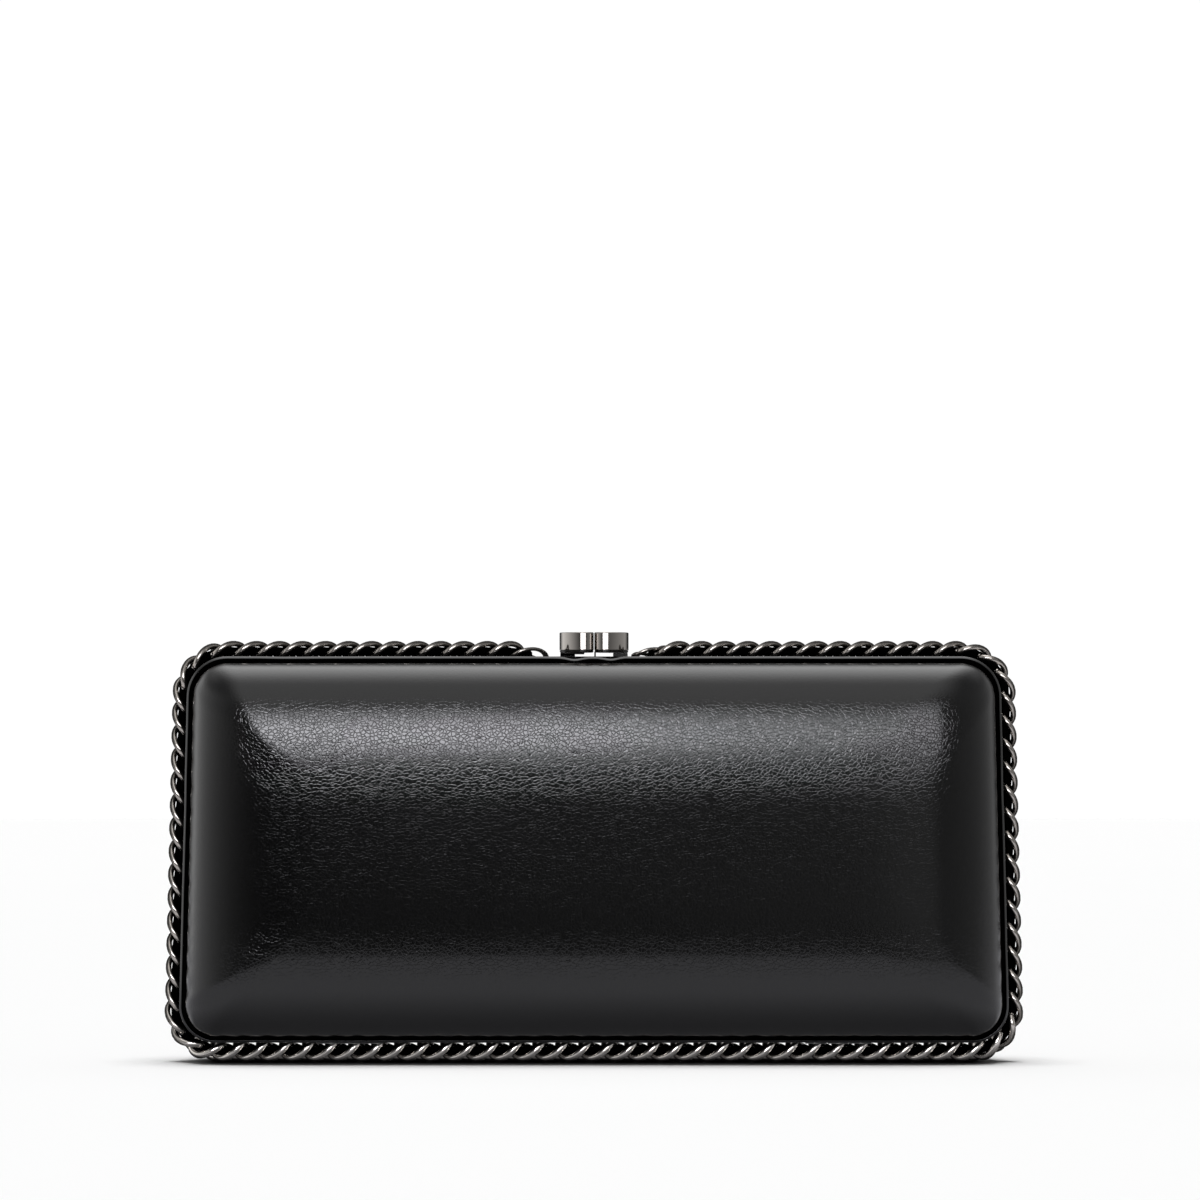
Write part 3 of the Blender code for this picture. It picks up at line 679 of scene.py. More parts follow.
# %% Mesh of a domed layer
PANEL_EDGE = 0.00165
OUTER_RINGS = 34
INNER_RINGS = 12
RING_CROWDING = 1.8
LAST_SHARE = 0.93
PUCKER_PITCH = 0.0058
PUCKER_DEPTH = 0.00030
PUCKER_REACH = 0.0030
PUCKER_WANDER = ((0.9, 11, 1.3), (0.7, 19, 0.4))
PUCKER_STRENGTH = 0.55
PUCKER_BELOW = 0.35
PUCKER_LEFT = 0.2
PUCKER_LEAST = 0.2
PUCKER_SWELL = (0.25, 23, 2.0)
GRAIN_RISE = (0.004, 0.015)
GRAIN_FALL = (0.021, 0.038)
GRAIN_LEAST = 0.24
LOW_GRAIN_RISE = (0.006, 0.016)
LOW_GRAIN_FALL = (0.020, 0.032)
LOW_GRAIN = 0.42

rim_y = -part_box("front_panel")[1].y
pucker_count = round(lip_length / PUCKER_PITCH)


def pucker_depths():
    """How deep the leather is drawn in round the outline: deepest at the bottom left."""
    dips = (0.5 + 0.5 * np.cos(pucker_count * around + waver(PUCKER_WANDER))) ** 2
    strong = PUCKER_STRENGTH - PUCKER_BELOW * lip_ways[:, 1] - PUCKER_LEFT * lip_ways[:, 0]
    swell = 1 - PUCKER_SWELL[0] + waver([PUCKER_SWELL])
    return dips * (np.clip(strong, PUCKER_LEAST, 1.0) * swell) * PUCKER_DEPTH


def dome_ring(side, inset, height, puckered):
    """One ring of a layer, as points in space."""
    if puckered:
        inset = max(inset, PANEL_EDGE)
    line, ways = outline(inset, ring_radii(inset))
    if puckered and inset < PANEL_INSET + PUCKER_REACH:
        fading = (1 - (inset - PANEL_INSET) / PUCKER_REACH) ** 2
        line = line - ways * (pucker_depths() * fading)[:, None]
    return np.stack([line[:, 0], np.full(RING, side * (rim_y + height)), line[:, 1]], 1)


def grain_shares(points, rim_distances):
    """Strength of the grain: strongest along the upper shoulder, weaker along the lower, least between."""
    from_top = lip_high.z - points[:, 2]
    upper = smooth_ramp(rim_distances, *GRAIN_RISE) * smooth_ramp(from_top, *GRAIN_RISE)
    upper = upper * (1 - smooth_ramp(from_top, *GRAIN_FALL))
    from_bottom = points[:, 2] - lip_low.z
    lower = smooth_ramp(from_bottom, *LOW_GRAIN_RISE) * (1 - smooth_ramp(from_bottom, *LOW_GRAIN_FALL))
    lower = lower * smooth_ramp(rim_distances, *LOW_GRAIN_RISE) * LOW_GRAIN
    return GRAIN_LEAST + (1 - GRAIN_LEAST) * np.maximum(upper, lower)


def dome_mesh(name, side, depth, thickness, puckered):
    """A domed layer: its outer face from rim to middle, then its inner face back to the rim."""
    outer = (np.arange(OUTER_RINGS) / (OUTER_RINGS - 1)) ** RING_CROWDING * LAST_SHARE
    inner = (np.arange(INNER_RINGS) / (INNER_RINGS - 1)) ** RING_CROWDING * LAST_SHARE
    profile = list(zip(*dome_profile(outer, depth)))
    profile += list(zip(*dome_profile(inner, depth + thickness)))[::-1]
    rings = [dome_ring(side, inset, height, puckered) for inset, height in profile]
    faces = cap_faces((OUTER_RINGS - 1) * RING) + cap_faces(OUTER_RINGS * RING)
    for number in range(len(rings)):
        if number != OUTER_RINGS - 1:
            faces += ring_faces(number * RING, (number + 1) % len(rings) * RING, RING)
    points = np.concatenate(rings)
    mesh = closed_mesh(name, points, faces)
    rim_distances = np.repeat([inset - PANEL_INSET for inset, height in profile], RING)
    grain = mesh.attributes.new("grain_share", "FLOAT", "POINT")
    grain.data.foreach_set("value", grain_shares(points, rim_distances))
    return mesh


print("puckers:", pucker_count, "round each half")

# %% [markdown]
# The layers under the leather show only when the bag is open or through the groove, but each gets its
# own finish: open-cell foam, a black moulded shell, and a woven lining with a low sheen. Two crossed
# sine waves are enough for the weave.

# %% Finishes of the inner layers
FOAM_COLOURS = (0.13, 0.13, 0.13, 1), (0.27, 0.27, 0.27, 1)
LINING_COLOURS = (0.012, 0.011, 0.013, 1), (0.034, 0.032, 0.036, 1)
WEAVE_RADIANS = 5200

foam = Finish("grey_foam", {"Roughness": 0.95})
foam_cells = foam.noise(scale=2200, detail=3.0)
foam.set("Base Color", foam.blend(foam_cells, *FOAM_COLOURS))
foam.bump(foam_cells, distance=0.0002)

shell = Finish("black_shell", {"Base Color": (0.02, 0.02, 0.02, 1)})
shell_texture = shell.noise(scale=900)
shell.set("Roughness", 0.4 + shell_texture * 0.2)
shell.bump(shell_texture, distance=0.00004)

lining = Finish("black_lining", {"Roughness": 0.6, "Sheen Weight": 0.3})
lining_x, _, lining_z = lining.axes(lining.place)
weave = 0.5 + (lining_x * WEAVE_RADIANS).sine() * (lining_z * WEAVE_RADIANS).sine() * 0.5
lining.set("Base Color", lining.blend(weave, *LINING_COLOURS))
lining.bump(weave, distance=0.00005)
print("inner finishes: foam, shell and lining")

# %% [markdown]
# Both halves get the same four layers, from the outside in. They lie a little apart, so that no two
# faces touch.

# %% Layers of both halves
LAYERS = (
    ("panel", 0.0, 0.0010, panel_leather, "leather_panel"),
    ("padding", 0.0013, 0.0018, foam, "foam"),
    ("shell", 0.0034, 0.0012, shell, "shell"),
    ("lining", 0.0049, 0.0005, lining, "lining"),
)

for half_name, side, body in HALVES:
    for layer, depth, thickness, finish, slot in LAYERS:
        mesh = dome_mesh(f"{half_name}_{layer}_domed", side, depth, thickness, layer == "panel")
        piece = add_piece(mesh, finish, body, slot, f"{half_name}_{layer}")
        layer in ("panel", "padding")
        layer == "lining"
print("domed layers:", len(LAYERS) * len(HALVES))

# %% [markdown]
# The lip is the folded edge of leather that stands round each dome. From the front it is only a line,
# but its rounded top catches the light, and the line wavers as hand-folded leather does. Under the
# knobs it is pressed down a little. Behind it a flat seam closes the groove. Its finish has no shine,
# which is painted shade for the groove. A section of a few insets and depths, swept round the outline,
# makes each of them.

# %% Lips and seams
MILLIMETRE = 1e-3
LIP_THICKNESS = 0.00064
LIP_OUTER_ROUND = ((0.0, -0.80), (0.02, -0.72), (0.05, -0.64), (0.10, -0.57), (0.17, -0.50))
LIP_INNER_ROUND = ((0.47, -0.03), (0.52, 0.0), (0.57, -0.01), (0.62, -0.05), (0.64, -0.12))
LIP_WAVES = ((1.0, 9, 0.7), (0.7, 17, 2.1), (0.5, 31, 4.0))
LIP_WAVES_SUM = 2.2
LIP_WAVE = 0.00010
LIP_DIP = 0.00055
LIP_DIP_PLACES = (-0.0048, 0.0042)
LIP_DIP_WIDTH = 0.0022
SEAM_OUTER = 0.0005
SEAM_INNER = 0.00185
SEAM_FRONT = 0.0067
FRAME_FACE = 0.00645
FRAME_EDGE = 0.00113
STRAIGHT_UP = 0.99

lip_back = -lip_high.y
lip_front = -lip_low.y
top_edge = lip_ways[:, 1] > STRAIGHT_UP
lip_press = sum(np.exp(-(((lip_line[:, 0] - x) / LIP_DIP_WIDTH) ** 2)) for x in LIP_DIP_PLACES)
lip_shift = LIP_WAVE * (waver(LIP_WAVES) / LIP_WAVES_SUM) + LIP_DIP * lip_press * top_edge

lip_section = [(0.0, lip_back)]
lip_section += [
    (inset * MILLIMETRE, lip_front + y * MILLIMETRE) for inset, y in LIP_OUTER_ROUND + LIP_INNER_ROUND
]
lip_section += [(LIP_THICKNESS, FRAME_FACE), (FRAME_EDGE, FRAME_FACE), (FRAME_EDGE, lip_back)]
seam_section = [(SEAM_OUTER, FRAME_FACE), (SEAM_OUTER, SEAM_FRONT)]
seam_section += [(SEAM_INNER, SEAM_FRONT), (SEAM_INNER, FRAME_FACE)]


def swept_mesh(name, side, section):
    """A section of insets and depths, swept round the outline. The lip's front wavers and is pressed."""
    rings = []
    for inset, y in section:
        line, ways = outline(inset, [radius - inset for radius in lip_radii])
        pressed = np.maximum(lip_shift, 0) * (y > FRAME_FACE and inset <= LIP_THICKNESS)
        line = line - ways * pressed[:, None]
        rings.append(np.stack([line[:, 0], np.full(RING, side * y), line[:, 1]], 1))
    faces = []
    for number in range(len(rings)):
        faces += ring_faces(number * RING, (number + 1) % len(rings) * RING, RING)
    return closed_mesh(name, np.concatenate(rings), faces)


for half_name, side, body in HALVES:
    fold = swept_mesh(f"{half_name}_lip_fold", side, lip_section)
    add_piece(fold, lip_leather, body, "lip_leather", f"{half_name}_lip")
    # The seam's finish has no shine: painted shade in the groove.
    seam = swept_mesh(f"{half_name}_lip_seam", side, seam_section)
    add_piece(seam, groove_leather, body, "lip_leather")
print("lips:", len(HALVES), "folds and", len(HALVES), "seams")

# %% [markdown]
# The chain runs round the bag just outside the lip and is open at the clasp. Its path is the outline
# again, a little larger and lower, cut open at the top. It starts left of the clasp and goes
# anticlockwise. Links are set at equal distances, so the pitch is rounded to fit the path.

# %% Chain's path
CHAIN_OUT = 0.0013
CHAIN_DROP = 0.00075
CHAIN_PITCH = 0.0057
CHAIN_LEFT_END = -0.0161
CHAIN_RIGHT_END = 0.0141
LEVEL_SLACK = 1e-6
PATH_STEP = 0.0004

chain_line, chain_ways = outline(-CHAIN_OUT, [radius + CHAIN_OUT for radius in lip_radii], CHAIN_DROP)
first = int(np.argmax((chain_ways[:, 1] > STRAIGHT_UP) & (chain_line[:, 0] < CHAIN_LEFT_END)))
chain_line = np.roll(chain_line, -first, 0)
chain_top = chain_line[0, 1]
at_top = chain_line[:, 1] > chain_top - LEVEL_SLACK
right_of_clasp = chain_line[:, 0] > CHAIN_RIGHT_END
second_half = np.arange(RING) > RING // 2
last = np.nonzero(at_top & right_of_clasp & second_half)[0][-1]
chain_ends = [[CHAIN_LEFT_END, chain_top]], [[CHAIN_RIGHT_END, chain_top]]
chain_line = np.concatenate([chain_ends[0], chain_line[: last + 1], chain_ends[1]])
chain_steps = np.linalg.norm(np.diff(chain_line, axis=0), axis=1)
chain_places = np.concatenate([[0], np.cumsum(chain_steps)])
link_count = round(chain_places[-1] / CHAIN_PITCH) + 1
pitch = chain_places[-1] / (link_count - 1)


def path_points(places):
    """Points (x, z) of the chain's path at some distances along it, but none past its ends."""
    places = np.clip(places, 0, chain_places[-1])
    return np.stack([np.interp(places, chain_places, chain_line[:, axis]) for axis in (0, 1)], 1)


def path_at(places):
    """Points (x, z) of the chain's path and the outward directions there."""
    along = path_points(places + PATH_STEP) - path_points(places - PATH_STEP)
    length = np.hypot(along[:, 0], along[:, 1])
    return path_points(places), np.stack([along[:, 1] / length, -along[:, 0] / length], 1)


print("chain:", link_count, "links,", round(pitch * MILLIMETRES, 2), "mm apart")

# %% [markdown]
# The links are polished gunmetal. Their sides that face out of the bag, and back along the chain, get
# painted shade: a near-black, less metallic colour stands in for the dark reflections at their edges
# against the white background. Under the bag a pale colour is a painted reflection of the floor's light,
# and the painted shade is weaker there. Each point of the mesh carries both as attributes: `outer`,
# which way it faces, and `not_under_bag`, 0 under the bag and 1 elsewhere.

# %% Gunmetal of the chain
WORN_COLOURS = (0.38, 0.355, 0.325, 1), (0.52, 0.485, 0.45, 1)
PAINTED_FLOOR_LIGHT_COLOUR = (0.86, 0.82, 0.77, 1)
PAINTED_SHADE_COLOUR = (0.03, 0.028, 0.026, 1)
PAINTED_SHADE_FROM = -0.05
PAINTED_SHADE_TO = 0.5
PAINTED_SHADE_MOST = 0.95
UNDER_LESS = 0.4

gunmetal = Finish("gunmetal_chain", {"Specular IOR Level": 0.0})
gunmetal_wear = gunmetal.noise(scale=500, detail=3.0)
gunmetal.set("Roughness", 0.10 + gunmetal_wear * 0.12)
polished = gunmetal.blend(gunmetal_wear, *WORN_COLOURS)
# Painted shade on the sides that face out and back, and painted floor light on the links under the bag.
not_under_bag_share = gunmetal.attribute("not_under_bag")
turned_out = gunmetal.attribute("outer") - (1 - not_under_bag_share) * UNDER_LESS
painted_shade_share = gunmetal.ramp(turned_out, PAINTED_SHADE_FROM, PAINTED_SHADE_TO) * PAINTED_SHADE_MOST
polished_or_painted_floor_light = gunmetal.blend(not_under_bag_share, PAINTED_FLOOR_LIGHT_COLOUR, polished)
gunmetal.set("Base Color", gunmetal.blend(painted_shade_share, polished_or_painted_floor_light, PAINTED_SHADE_COLOUR))
gunmetal.set("Metallic", 1 - painted_shade_share)
print("finish of the chain:", gunmetal.material.name)

# %% [markdown]
# Geometry Nodes repeat a thing at every point of a mesh, so a row of links is one link and a list of
# points. A tree is built like a material. Its sizes are named inputs, and its last nodes make the
# copies real, because an export drops instances. Running the tree leaves a plain mesh and no modifier.

# %% Geometry Nodes trees
def geometry_tree(name, sizes):
    """A Geometry Nodes tree with a named input for each size, and the graph to build it with."""
    tree = bpy.data.node_groups.new(name, "GeometryNodeTree")
    tree.interface.new_socket("Geometry", in_out="INPUT", socket_type="NodeSocketGeometry")
    for size in sizes:
        tree.interface.new_socket(size, in_out="INPUT", socket_type="NodeSocketFloat")
    tree.interface.new_socket("Geometry", in_out="OUTPUT", socket_type="NodeSocketGeometry")
    graph = Graph(tree)
    return graph, graph.node("NodeGroupInput")


def end_tree(graph, geometry, finish):
    """Ends a tree: real copies instead of instances, smooth shading and a material."""
    realised = graph.node("GeometryNodeRealizeInstances", None, {"Geometry": geometry})
    shaded = graph.node("GeometryNodeSetShadeSmooth", None, {"Geometry": realised})
    sockets = {"Geometry": shaded, "Material": finish.material}
    graph.node("NodeGroupOutput", None, {"Geometry": graph.node("GeometryNodeSetMaterial", None, sockets)})


def run_tree(graph, name, mesh, sizes):
    """Runs a tree on a mesh and returns the result as a plain mesh."""
    carrier = new_object(name, mesh)
    modifier = carrier.modifiers.new(name, "NODES")
    modifier.node_group = graph.tree
    for socket in graph.tree.interface.items_tree:
        if socket.in_out == "INPUT" and socket.name in sizes:
            modifier[socket.identifier] = sizes[socket.name]
    evaluated = carrier.evaluated_get(bpy.context.evaluated_depsgraph_get())
    made = bpy.data.meshes.new_from_object(evaluated)
    carrier.modifiers.clear()
    bpy.data.objects.remove(carrier, do_unlink=True)
    made.name = name
    return made


def points_mesh(name, places, vectors, numbers):
    """Loose points that carry vectors and numbers for a tree to read."""
    mesh = bpy.data.meshes.new(name)
    mesh.from_pydata([tuple(place) for place in places], [], [])
    for label, values in vectors.items():
        mesh.attributes.new(label, "FLOAT_VECTOR", "POINT").data.foreach_set("vector", np.ravel(values))
    for label, values in numbers.items():
        mesh.attributes.new(label, "FLOAT", "POINT").data.foreach_set("value", np.ravel(values))
    return mesh


def carried(graph, name, kind):
    """Vectors or numbers that the points carry."""
    return graph.node("GeometryNodeInputNamedAttribute", {"data_type": kind}, {"Name": name})


# %% [markdown]
# This is a curb chain: each link is an oval of wire, twisted so that its two long sides lie flat
# against the next link. It lies on edge in the hoop, so from the front its near sides show as a row of
# slanted strokes. The link is one closed curve, worked out from the turn round it: a cosine along the
# chain, a sine across it, and a twist that follows the cosine. A wire then runs along the curve.

# %% One link
LINK_SIZES = {
    "Length": 0.0082,
    "Breadth": 0.0071,
    "Twist": math.radians(-47),
    "Skew": 0.47,
    "Wire": 0.00145,
}
TURNED_SHARE = 0.6
LINK_STEPS = 36
WIRE_SIDES = 9

chain_graph, sizes_in = geometry_tree("curb_chain", LINK_SIZES)
length_in, breadth_in, twist_in, skew_in, wire_in = (
    chain_graph.output(sizes_in, name) for name in LINK_SIZES
)
turn = chain_graph.node("GeometryNodeSplineParameter") * (2 * math.pi)
twisted = twist_in * turn.cosine()
out_from_middle = breadth_in * turn.sine() / 2
link_y = out_from_middle * twisted.cosine()
link_z = out_from_middle * twisted.sine()
link_x = length_in * turn.cosine() / 2 + skew_in * link_y
link_place = chain_graph.node("ShaderNodeCombineXYZ", None, {"X": link_x, "Y": link_y, "Z": link_z})

unit_circle = {"Resolution": LINK_STEPS, "Radius": 1.0}
circle = chain_graph.node("GeometryNodeCurvePrimitiveCircle", None, unit_circle)
link_curve = chain_graph.node("GeometryNodeSetPosition", None, {"Geometry": circle, "Position": link_place})
wire_sockets = {"Resolution": WIRE_SIDES, "Radius": wire_in / 2}
wire_round = chain_graph.node("GeometryNodeCurvePrimitiveCircle", None, wire_sockets)
wire_path = {"Curve": link_curve, "Profile Curve": wire_round}
bare_link = chain_graph.node("GeometryNodeCurveToMesh", None, wire_path)

# `outer` says which way the wire faces. The gunmetal paints shade on the sides that face out of the bag and
# back along the chain.
facing_along, _, facing_out = chain_graph.axes(chain_graph.node("GeometryNodeInputNormal"))
outer_sockets = {"Geometry": bare_link, "Name": "outer", "Value": facing_out - facing_along * TURNED_SHARE}
on_points = {"data_type": "FLOAT", "domain": "POINT"}
link = chain_graph.node("GeometryNodeStoreNamedAttribute", on_points, outer_sockets)
print("link:", LINK_STEPS * WIRE_SIDES, "faces")

# %% [markdown]
# Every point of the path says which way is along and which is outwards, and the tree turns its link to
# fit. The links stand taller under the bag, where they carry it, lie low beside the clasp, and lean
# back a little at the top and the sides. The two end links are pieces of their own, because they stand
# for the keepers that hold the chain.

# %% Links along the path
BOTTOM_RISE = 1.357
END_RISE = 0.6
END_DROP = 0.0008
LINK_ROLL = 0.25
STRETCHES = ("chain_top_left", "chain_left", "chain_bottom", "chain_right", "chain_top_right")

axes = {"primary_axis": "X", "secondary_axis": "Z"}
axes_sockets = {
    "Primary Axis": carried(chain_graph, "along", "FLOAT_VECTOR"),
    "Secondary Axis": carried(chain_graph, "outwards", "FLOAT_VECTOR"),
}
rise_sockets = {"X": 1.0, "Y": 1.0, "Z": carried(chain_graph, "rise", "FLOAT")}
link_sockets = {
    "Points": chain_graph.output(sizes_in, "Geometry"),
    "Instance": link,
    "Rotation": chain_graph.node("FunctionNodeAxesToRotation", axes, axes_sockets),
    "Scale": chain_graph.node("ShaderNodeCombineXYZ", None, rise_sockets),
}
links = chain_graph.node("GeometryNodeInstanceOnPoints", None, link_sockets)
end_tree(chain_graph, links, gunmetal)


def under_bag(ways):
    """1 where the path runs under the bag, and 0 at its sides and top."""
    return np.maximum(0, -ways[:, 1]) ** 2


def rise_at(ways):
    """How much taller than at the top a link stands, for each outward direction."""
    return 1 + (BOTTOM_RISE - 1) * under_bag(ways)


def chain_points(name, numbers):
    """Points of the path for links of some numbers, counted from the left of the clasp."""
    numbers = np.asarray(numbers)
    line, ways = path_at(numbers * pitch)
    ends = (numbers == 0) | (numbers == link_count - 1)
    rise = np.where(ends, END_RISE, rise_at(ways))
    line[:, 1] -= np.where(ends, END_DROP, 0.0)
    places = np.stack([line[:, 0], np.zeros(len(line)), line[:, 1]], 1)
    # not_under_bag tips the links, and in the gunmetal it chooses between painted shade and painted floor
    # light.
    not_under_bag = 1 - under_bag(ways)
    outwards = np.stack([ways[:, 0], LINK_ROLL * not_under_bag, ways[:, 1]], 1)
    forwards = np.stack([-ways[:, 1], np.zeros(len(line)), ways[:, 0]], 1)
    vectors = {"along": forwards, "outwards": outwards}
    return points_mesh(name, places, vectors, {"rise": rise, "not_under_bag": not_under_bag})


middle_points = chain_points("links", range(1, link_count - 1))
run_of_links = run_tree(chain_graph, "chain_links", middle_points, LINK_SIZES)
add_piece(run_of_links, gunmetal, "rear_half", "chain", *STRETCHES)
for name, number in (("left", 0), ("right", link_count - 1)):
    end_link = run_tree(chain_graph, f"chain_end_link_{name}", chain_points(name, [number]), LINK_SIZES)
    add_piece(end_link, gunmetal, "rear_half", "keeper", f"chain_keeper_{name}")
print("links:", len(run_of_links.polygons), "faces")

# %% [markdown]
# A leather ribbon is woven through the links and fills them with black. It goes over the end of one
# link and under the next, so it is a strip whose middle line is a wave with the chain's own pitch, and
# which tips to follow the twist of the wires.

# %% Ribbon
RIBBON_HALF_WIDTH = 0.0023
RIBBON_THICKNESS = 0.0024
RIBBON_EDGE_ROUND = 0.6
RIBBON_EDGE_POWER = 4
RIBBON_END_GAP = 0.0002
RIBBON_WAVE = 0.00025
RIBBON_TIP = 0.10
RIBBON_STEPS = 12
RIBBON_ACROSS = 4


def ribbon_mesh(name):
    """The woven ribbon, from the middle of one end link round to the other."""
    steps = (link_count - 1) * RIBBON_STEPS + 1
    places = np.linspace(RIBBON_END_GAP, chain_places[-1] - RIBBON_END_GAP, steps)
    line, ways = path_at(places)
    phase = np.sin(2 * np.pi * places / pitch)
    calm = np.clip(np.minimum(places, chain_places[-1] - places) / pitch, 0.0, 1.0)
    rise = rise_at(ways)
    corners = [(share, 1) for share in np.linspace(-1, 1, RIBBON_ACROSS + 1)]
    corners += [(share, -1) for share in np.linspace(1, -1, RIBBON_ACROSS + 1)]
    rings = []
    for share, face in corners:
        y = share * RIBBON_HALF_WIDTH
        edge_round = 1 - RIBBON_EDGE_ROUND * share**RIBBON_EDGE_POWER
        out = (RIBBON_WAVE - RIBBON_TIP * y) * phase * calm * rise
        out = out + face * edge_round * RIBBON_THICKNESS / 2
        slid = y * LINK_SIZES["Skew"]
        x = line[:, 0] + ways[:, 0] * out + ways[:, 1] * slid
        z = line[:, 1] + ways[:, 1] * out - ways[:, 0] * slid - (1 - calm) * END_DROP
        rings.append(np.stack([x, np.full(len(x), -y), z], 1))
    count = len(rings)
    points = np.stack(rings, 1).reshape(-1, 3)
    faces = []
    for number in range(len(places) - 1):
        faces += ring_faces(number * count, (number + 1) * count, count)
    faces += [list(range(count)), list(range(len(points) - count, len(points)))]
    return closed_mesh(name, points, faces)


add_piece(ribbon_mesh("chain_ribbon_woven"), ribbon_leather, "rear_half", "ribbon_leather", "chain_ribbon")
print("ribbon: woven through", link_count, "links")

# %% [markdown]
# The clasp is two knobs on levers, side by side. Each knob is a low oval drum of polished metal with
# softly rounded edges, which stands askew to the bag and narrows a little upwards. A drum is a loft
# of one oval plan, so its levels are all that is needed.

# %% Knobs
CLASP_COLOUR = (0.32, 0.30, 0.28, 1)
CLASP_SHARP_ANGLE = 20
KNOB_MIDDLE = 0.0043
KNOB_HALF_WIDTH = 0.00423
KNOB_HALF_DEPTH = 0.0051
KNOB_LOW = 0.1014
KNOB_HIGH = 0.1059
KNOB_ROUNDING = 0.00025
KNOB_SUPPORT = 0.00006
KNOB_STEPS = 96
KNOB_LONG = 1.5
KNOB_LEAN = math.radians(40)
KNOB_DRAFT = math.tan(math.radians(4.5))
ROUND_STEPS = 5

clasp_metal = Finish("polished_gunmetal", {"Base Color": CLASP_COLOUR, "Metallic": 1.0})
clasp_wear = clasp_metal.noise(scale=160, detail=4.0)
clasp_metal.set("Roughness", 0.05 + clasp_wear * 0.06)


def knob_plan(lean):
    """An oval, turned by an angle, that reaches from -1 to 1 both ways."""
    angles = np.linspace(0, 2 * np.pi, KNOB_STEPS, endpoint=False)
    long_way = np.cos(angles) * KNOB_LONG
    short_way = np.sin(angles)
    x = long_way * math.cos(lean) - short_way * math.sin(lean)
    y = long_way * math.sin(lean) + short_way * math.cos(lean)
    return x / np.abs(x).max(), y / np.abs(y).max()


def knob_rings(middle_x, half_width, half_depth, low, high):
    """Rings of an upright oval drum with rounded edges, from the bottom to the top."""
    levels = []
    for step in range(ROUND_STEPS + 1):
        angle = math.pi / 2 * step / ROUND_STEPS
        levels.append((KNOB_ROUNDING * (1 - math.sin(angle)), low + KNOB_ROUNDING * (1 - math.cos(angle))))
    levels.append((0.0, low + KNOB_ROUNDING + KNOB_SUPPORT))
    levels += [(inwards, low + high - z) for inwards, z in levels[::-1]]
    plan_x, plan_y = knob_plan(math.copysign(KNOB_LEAN, middle_x))
    rings = []
    for inwards, z in levels:
        x = middle_x + (half_width - inwards) * plan_x
        y = (half_depth - inwards - (z - low) * KNOB_DRAFT) * plan_y
        rings.append(np.stack([x, y, np.full(KNOB_STEPS, z)], 1))
    return rings


def drum(bm, rings):
    """Adds an upright drum to a bmesh."""
    made = [[bm.verts.new(point) for point in ring] for ring in rings]
    bm.faces.new(made[0][::-1])
    bm.faces.new(made[-1])
    for lower, upper in zip(made, made[1:]):
        for here in range(KNOB_STEPS):
            beside = (here + 1) % KNOB_STEPS
            bm.faces.new((lower[here], lower[beside], upper[beside], upper[here]))


def clasp_mesh(bm, name):
    """Ends a bmesh: a mesh with sharp corners between its flat faces."""
    bmesh.ops.recalc_face_normals(bm, faces=bm.faces)
    mesh = bpy.data.meshes.new(name)
    bm.to_mesh(mesh)
    bm.free()
    smooth_faces(mesh, CLASP_SHARP_ANGLE)
    return mesh


def knob_mesh(name, side):
    """One knob, on its side of the middle."""
    bm = bmesh.new()
    drum(bm, knob_rings(side * KNOB_MIDDLE, KNOB_HALF_WIDTH, KNOB_HALF_DEPTH, KNOB_LOW, KNOB_HIGH))
    return clasp_mesh(bm, name)


print("knob:", round((KNOB_HIGH - KNOB_LOW) * MILLIMETRES, 1), "mm high")

# %% [markdown]
# Under each knob lies a blackened plate, and three blackened blocks lead from it down to the frame of
# its half. Together they are the knob's foot, which is a piece of its own because its finish is
# another. The blocks get bevelled edges, since no real edge is perfectly sharp.

# %% Feet and the whole clasp
FOOT_COLOUR = (0.02, 0.019, 0.018, 1)
BLOCK_BEVEL = 0.00012
PLATE_LOW = 0.1009
PLATE_HIGH = 0.1022
PLATE_INSET = 0.00008
FOOT_OUTER = 0.0083
FOOT_INNER = 0.0047
FOOT_HIGH = 0.1008
FRONT_FACE = -0.0049
FRONT_LEG_BACK = -0.0039
FRONT_LEG_LOW = 0.0940
FRONT_ARM_BACK = 0.0013
FRONT_ARM_LOW = 0.0999
FRONT_POST_LOW = (-0.0062, -0.0030, 0.1005)
FRONT_POST_HIGH = (-0.0024, 0.0010, 0.1012)
REAR_HALF_DEPTH = 0.0028
REAR_LOW = 0.0991
REAR_BASE_HIGH = 0.0999
REAR_BASE_LEFT = 0.00015
REAR_BASE_RIGHT = 0.0061
REAR_STOP_LOW = (0.00005, -0.0014, 0.0995)
REAR_STOP_HIGH = (0.00045, 0.0014, 0.1012)
FOOT_BLOCKS = {
    "front": (
        ((-FOOT_OUTER, FRONT_FACE, FRONT_LEG_LOW), (-FOOT_INNER, FRONT_LEG_BACK, FOOT_HIGH)),
        ((-FOOT_OUTER, FRONT_FACE, FRONT_ARM_LOW), (-FOOT_INNER, FRONT_ARM_BACK, FOOT_HIGH)),
        (FRONT_POST_LOW, FRONT_POST_HIGH),
    ),
    "rear": (
        ((FOOT_INNER, -REAR_HALF_DEPTH, REAR_LOW), (FOOT_OUTER, REAR_HALF_DEPTH, FOOT_HIGH)),
        ((REAR_BASE_LEFT, -REAR_HALF_DEPTH, REAR_LOW), (REAR_BASE_RIGHT, REAR_HALF_DEPTH, REAR_BASE_HIGH)),
        (REAR_STOP_LOW, REAR_STOP_HIGH),
    ),
}

foot_metal = Finish("blackened_metal", {"Base Color": FOOT_COLOUR, "Specular IOR Level": 0.15})
foot_wear = foot_metal.noise(scale=160, detail=4.0)
foot_metal.set("Roughness", 0.15 + foot_wear * 0.1)


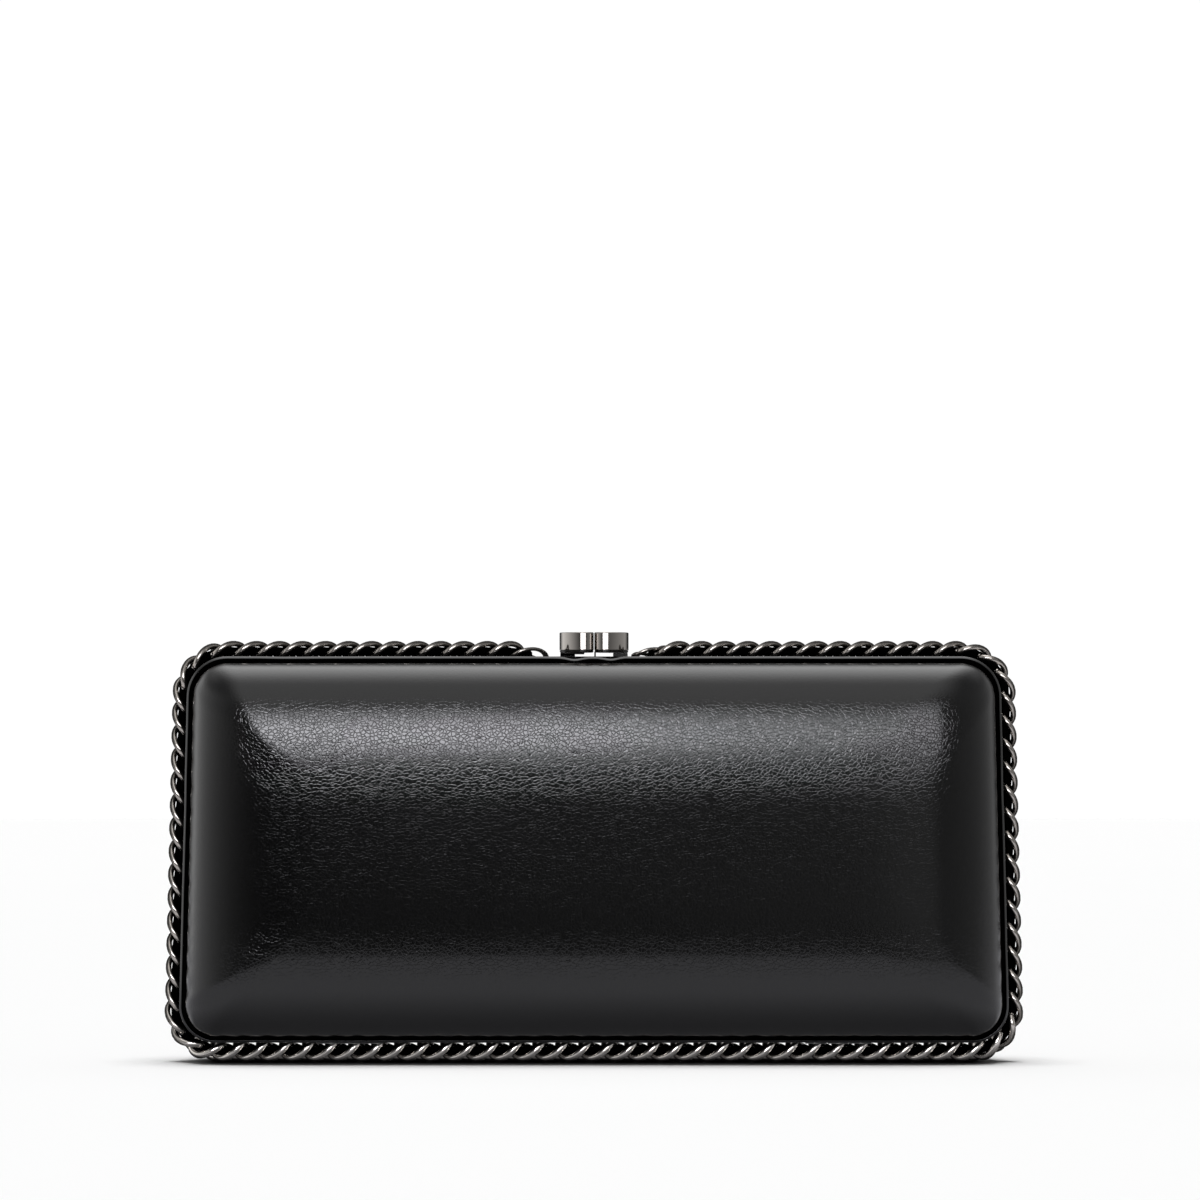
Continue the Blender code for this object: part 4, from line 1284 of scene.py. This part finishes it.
def block(bm, low, high):
    """Adds a block with bevelled edges to a bmesh."""
    low = Vector(low)
    high = Vector(high)
    place = Matrix.Translation((low + high) / 2) @ Matrix.Diagonal((*(high - low), 1))
    corners = bmesh.ops.create_cube(bm, size=1, matrix=place)["verts"]
    edges = list({edge for corner in corners for edge in corner.link_edges})
    bmesh.ops.bevel(bm, geom=edges, offset=BLOCK_BEVEL, segments=2, profile=0.5, affect="EDGES")


def foot_mesh(name, side, blocks):
    """The plate under a knob, a little smaller than the knob, and the blocks below it."""
    half_width = KNOB_HALF_WIDTH - PLATE_INSET
    half_depth = KNOB_HALF_DEPTH - PLATE_INSET
    bm = bmesh.new()
    drum(bm, knob_rings(side * KNOB_MIDDLE, half_width, half_depth, PLATE_LOW, PLATE_HIGH))
    for low, high in blocks:
        block(bm, low, high)
    return clasp_mesh(bm, name)


for half_name, side, body in HALVES:
    knob = knob_mesh(f"clasp_{half_name}_knob", side)
    add_piece(knob, clasp_metal, body, "clasp", f"clasp_{half_name}_lever")
    foot = foot_mesh(f"clasp_{half_name}_foot", side, FOOT_BLOCKS[half_name])
    add_piece(foot, foot_metal, body, "clasp")
print("clasp:", len(HALVES), "knobs, each on a foot with", len(FOOT_BLOCKS["front"]), "blocks")

# %% [markdown]
# The metal frames, hinges, pins, screws and rivets keep their own solids, because their shapes are
# already right. They only get finishes: black lacquer on the frames, and brushed steel on the rest.

# %% Finishes of the frame's own solids
LACQUER_COLOUR = (0.005, 0.005, 0.005, 1)
STEEL_COLOURS = (0.26, 0.26, 0.27, 1), (0.42, 0.42, 0.43, 1)
BRUSHED_ALONG = (0.1, 1.0, 1.0)

lacquer = Finish("black_lacquer", {"Base Color": LACQUER_COLOUR, "Specular IOR Level": 0.25})
lacquer_speckle = lacquer.noise(scale=700, detail=3.0)
lacquer.set("Roughness", 0.36 + lacquer_speckle * 0.16)
lacquer.bump(lacquer_speckle, distance=0.00002)

steel = Finish("hinge_steel", {"Metallic": 1.0})
brush_lines = steel.noise(scale=3000, place=steel.stretch(steel.place, BRUSHED_ALONG))
steel.set("Roughness", 0.22 + brush_lines * 0.2)
steel.set("Base Color", steel.blend(brush_lines, *STEEL_COLOURS))

shown = {name: node for name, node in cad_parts.items() if not node.hide_render}
for name, node in shown.items():
    finish = lacquer if name.endswith("_frame") else steel
    node.data.materials.clear()
    node.data.materials.append(finish.material)
print("finished solids:", len(shown))
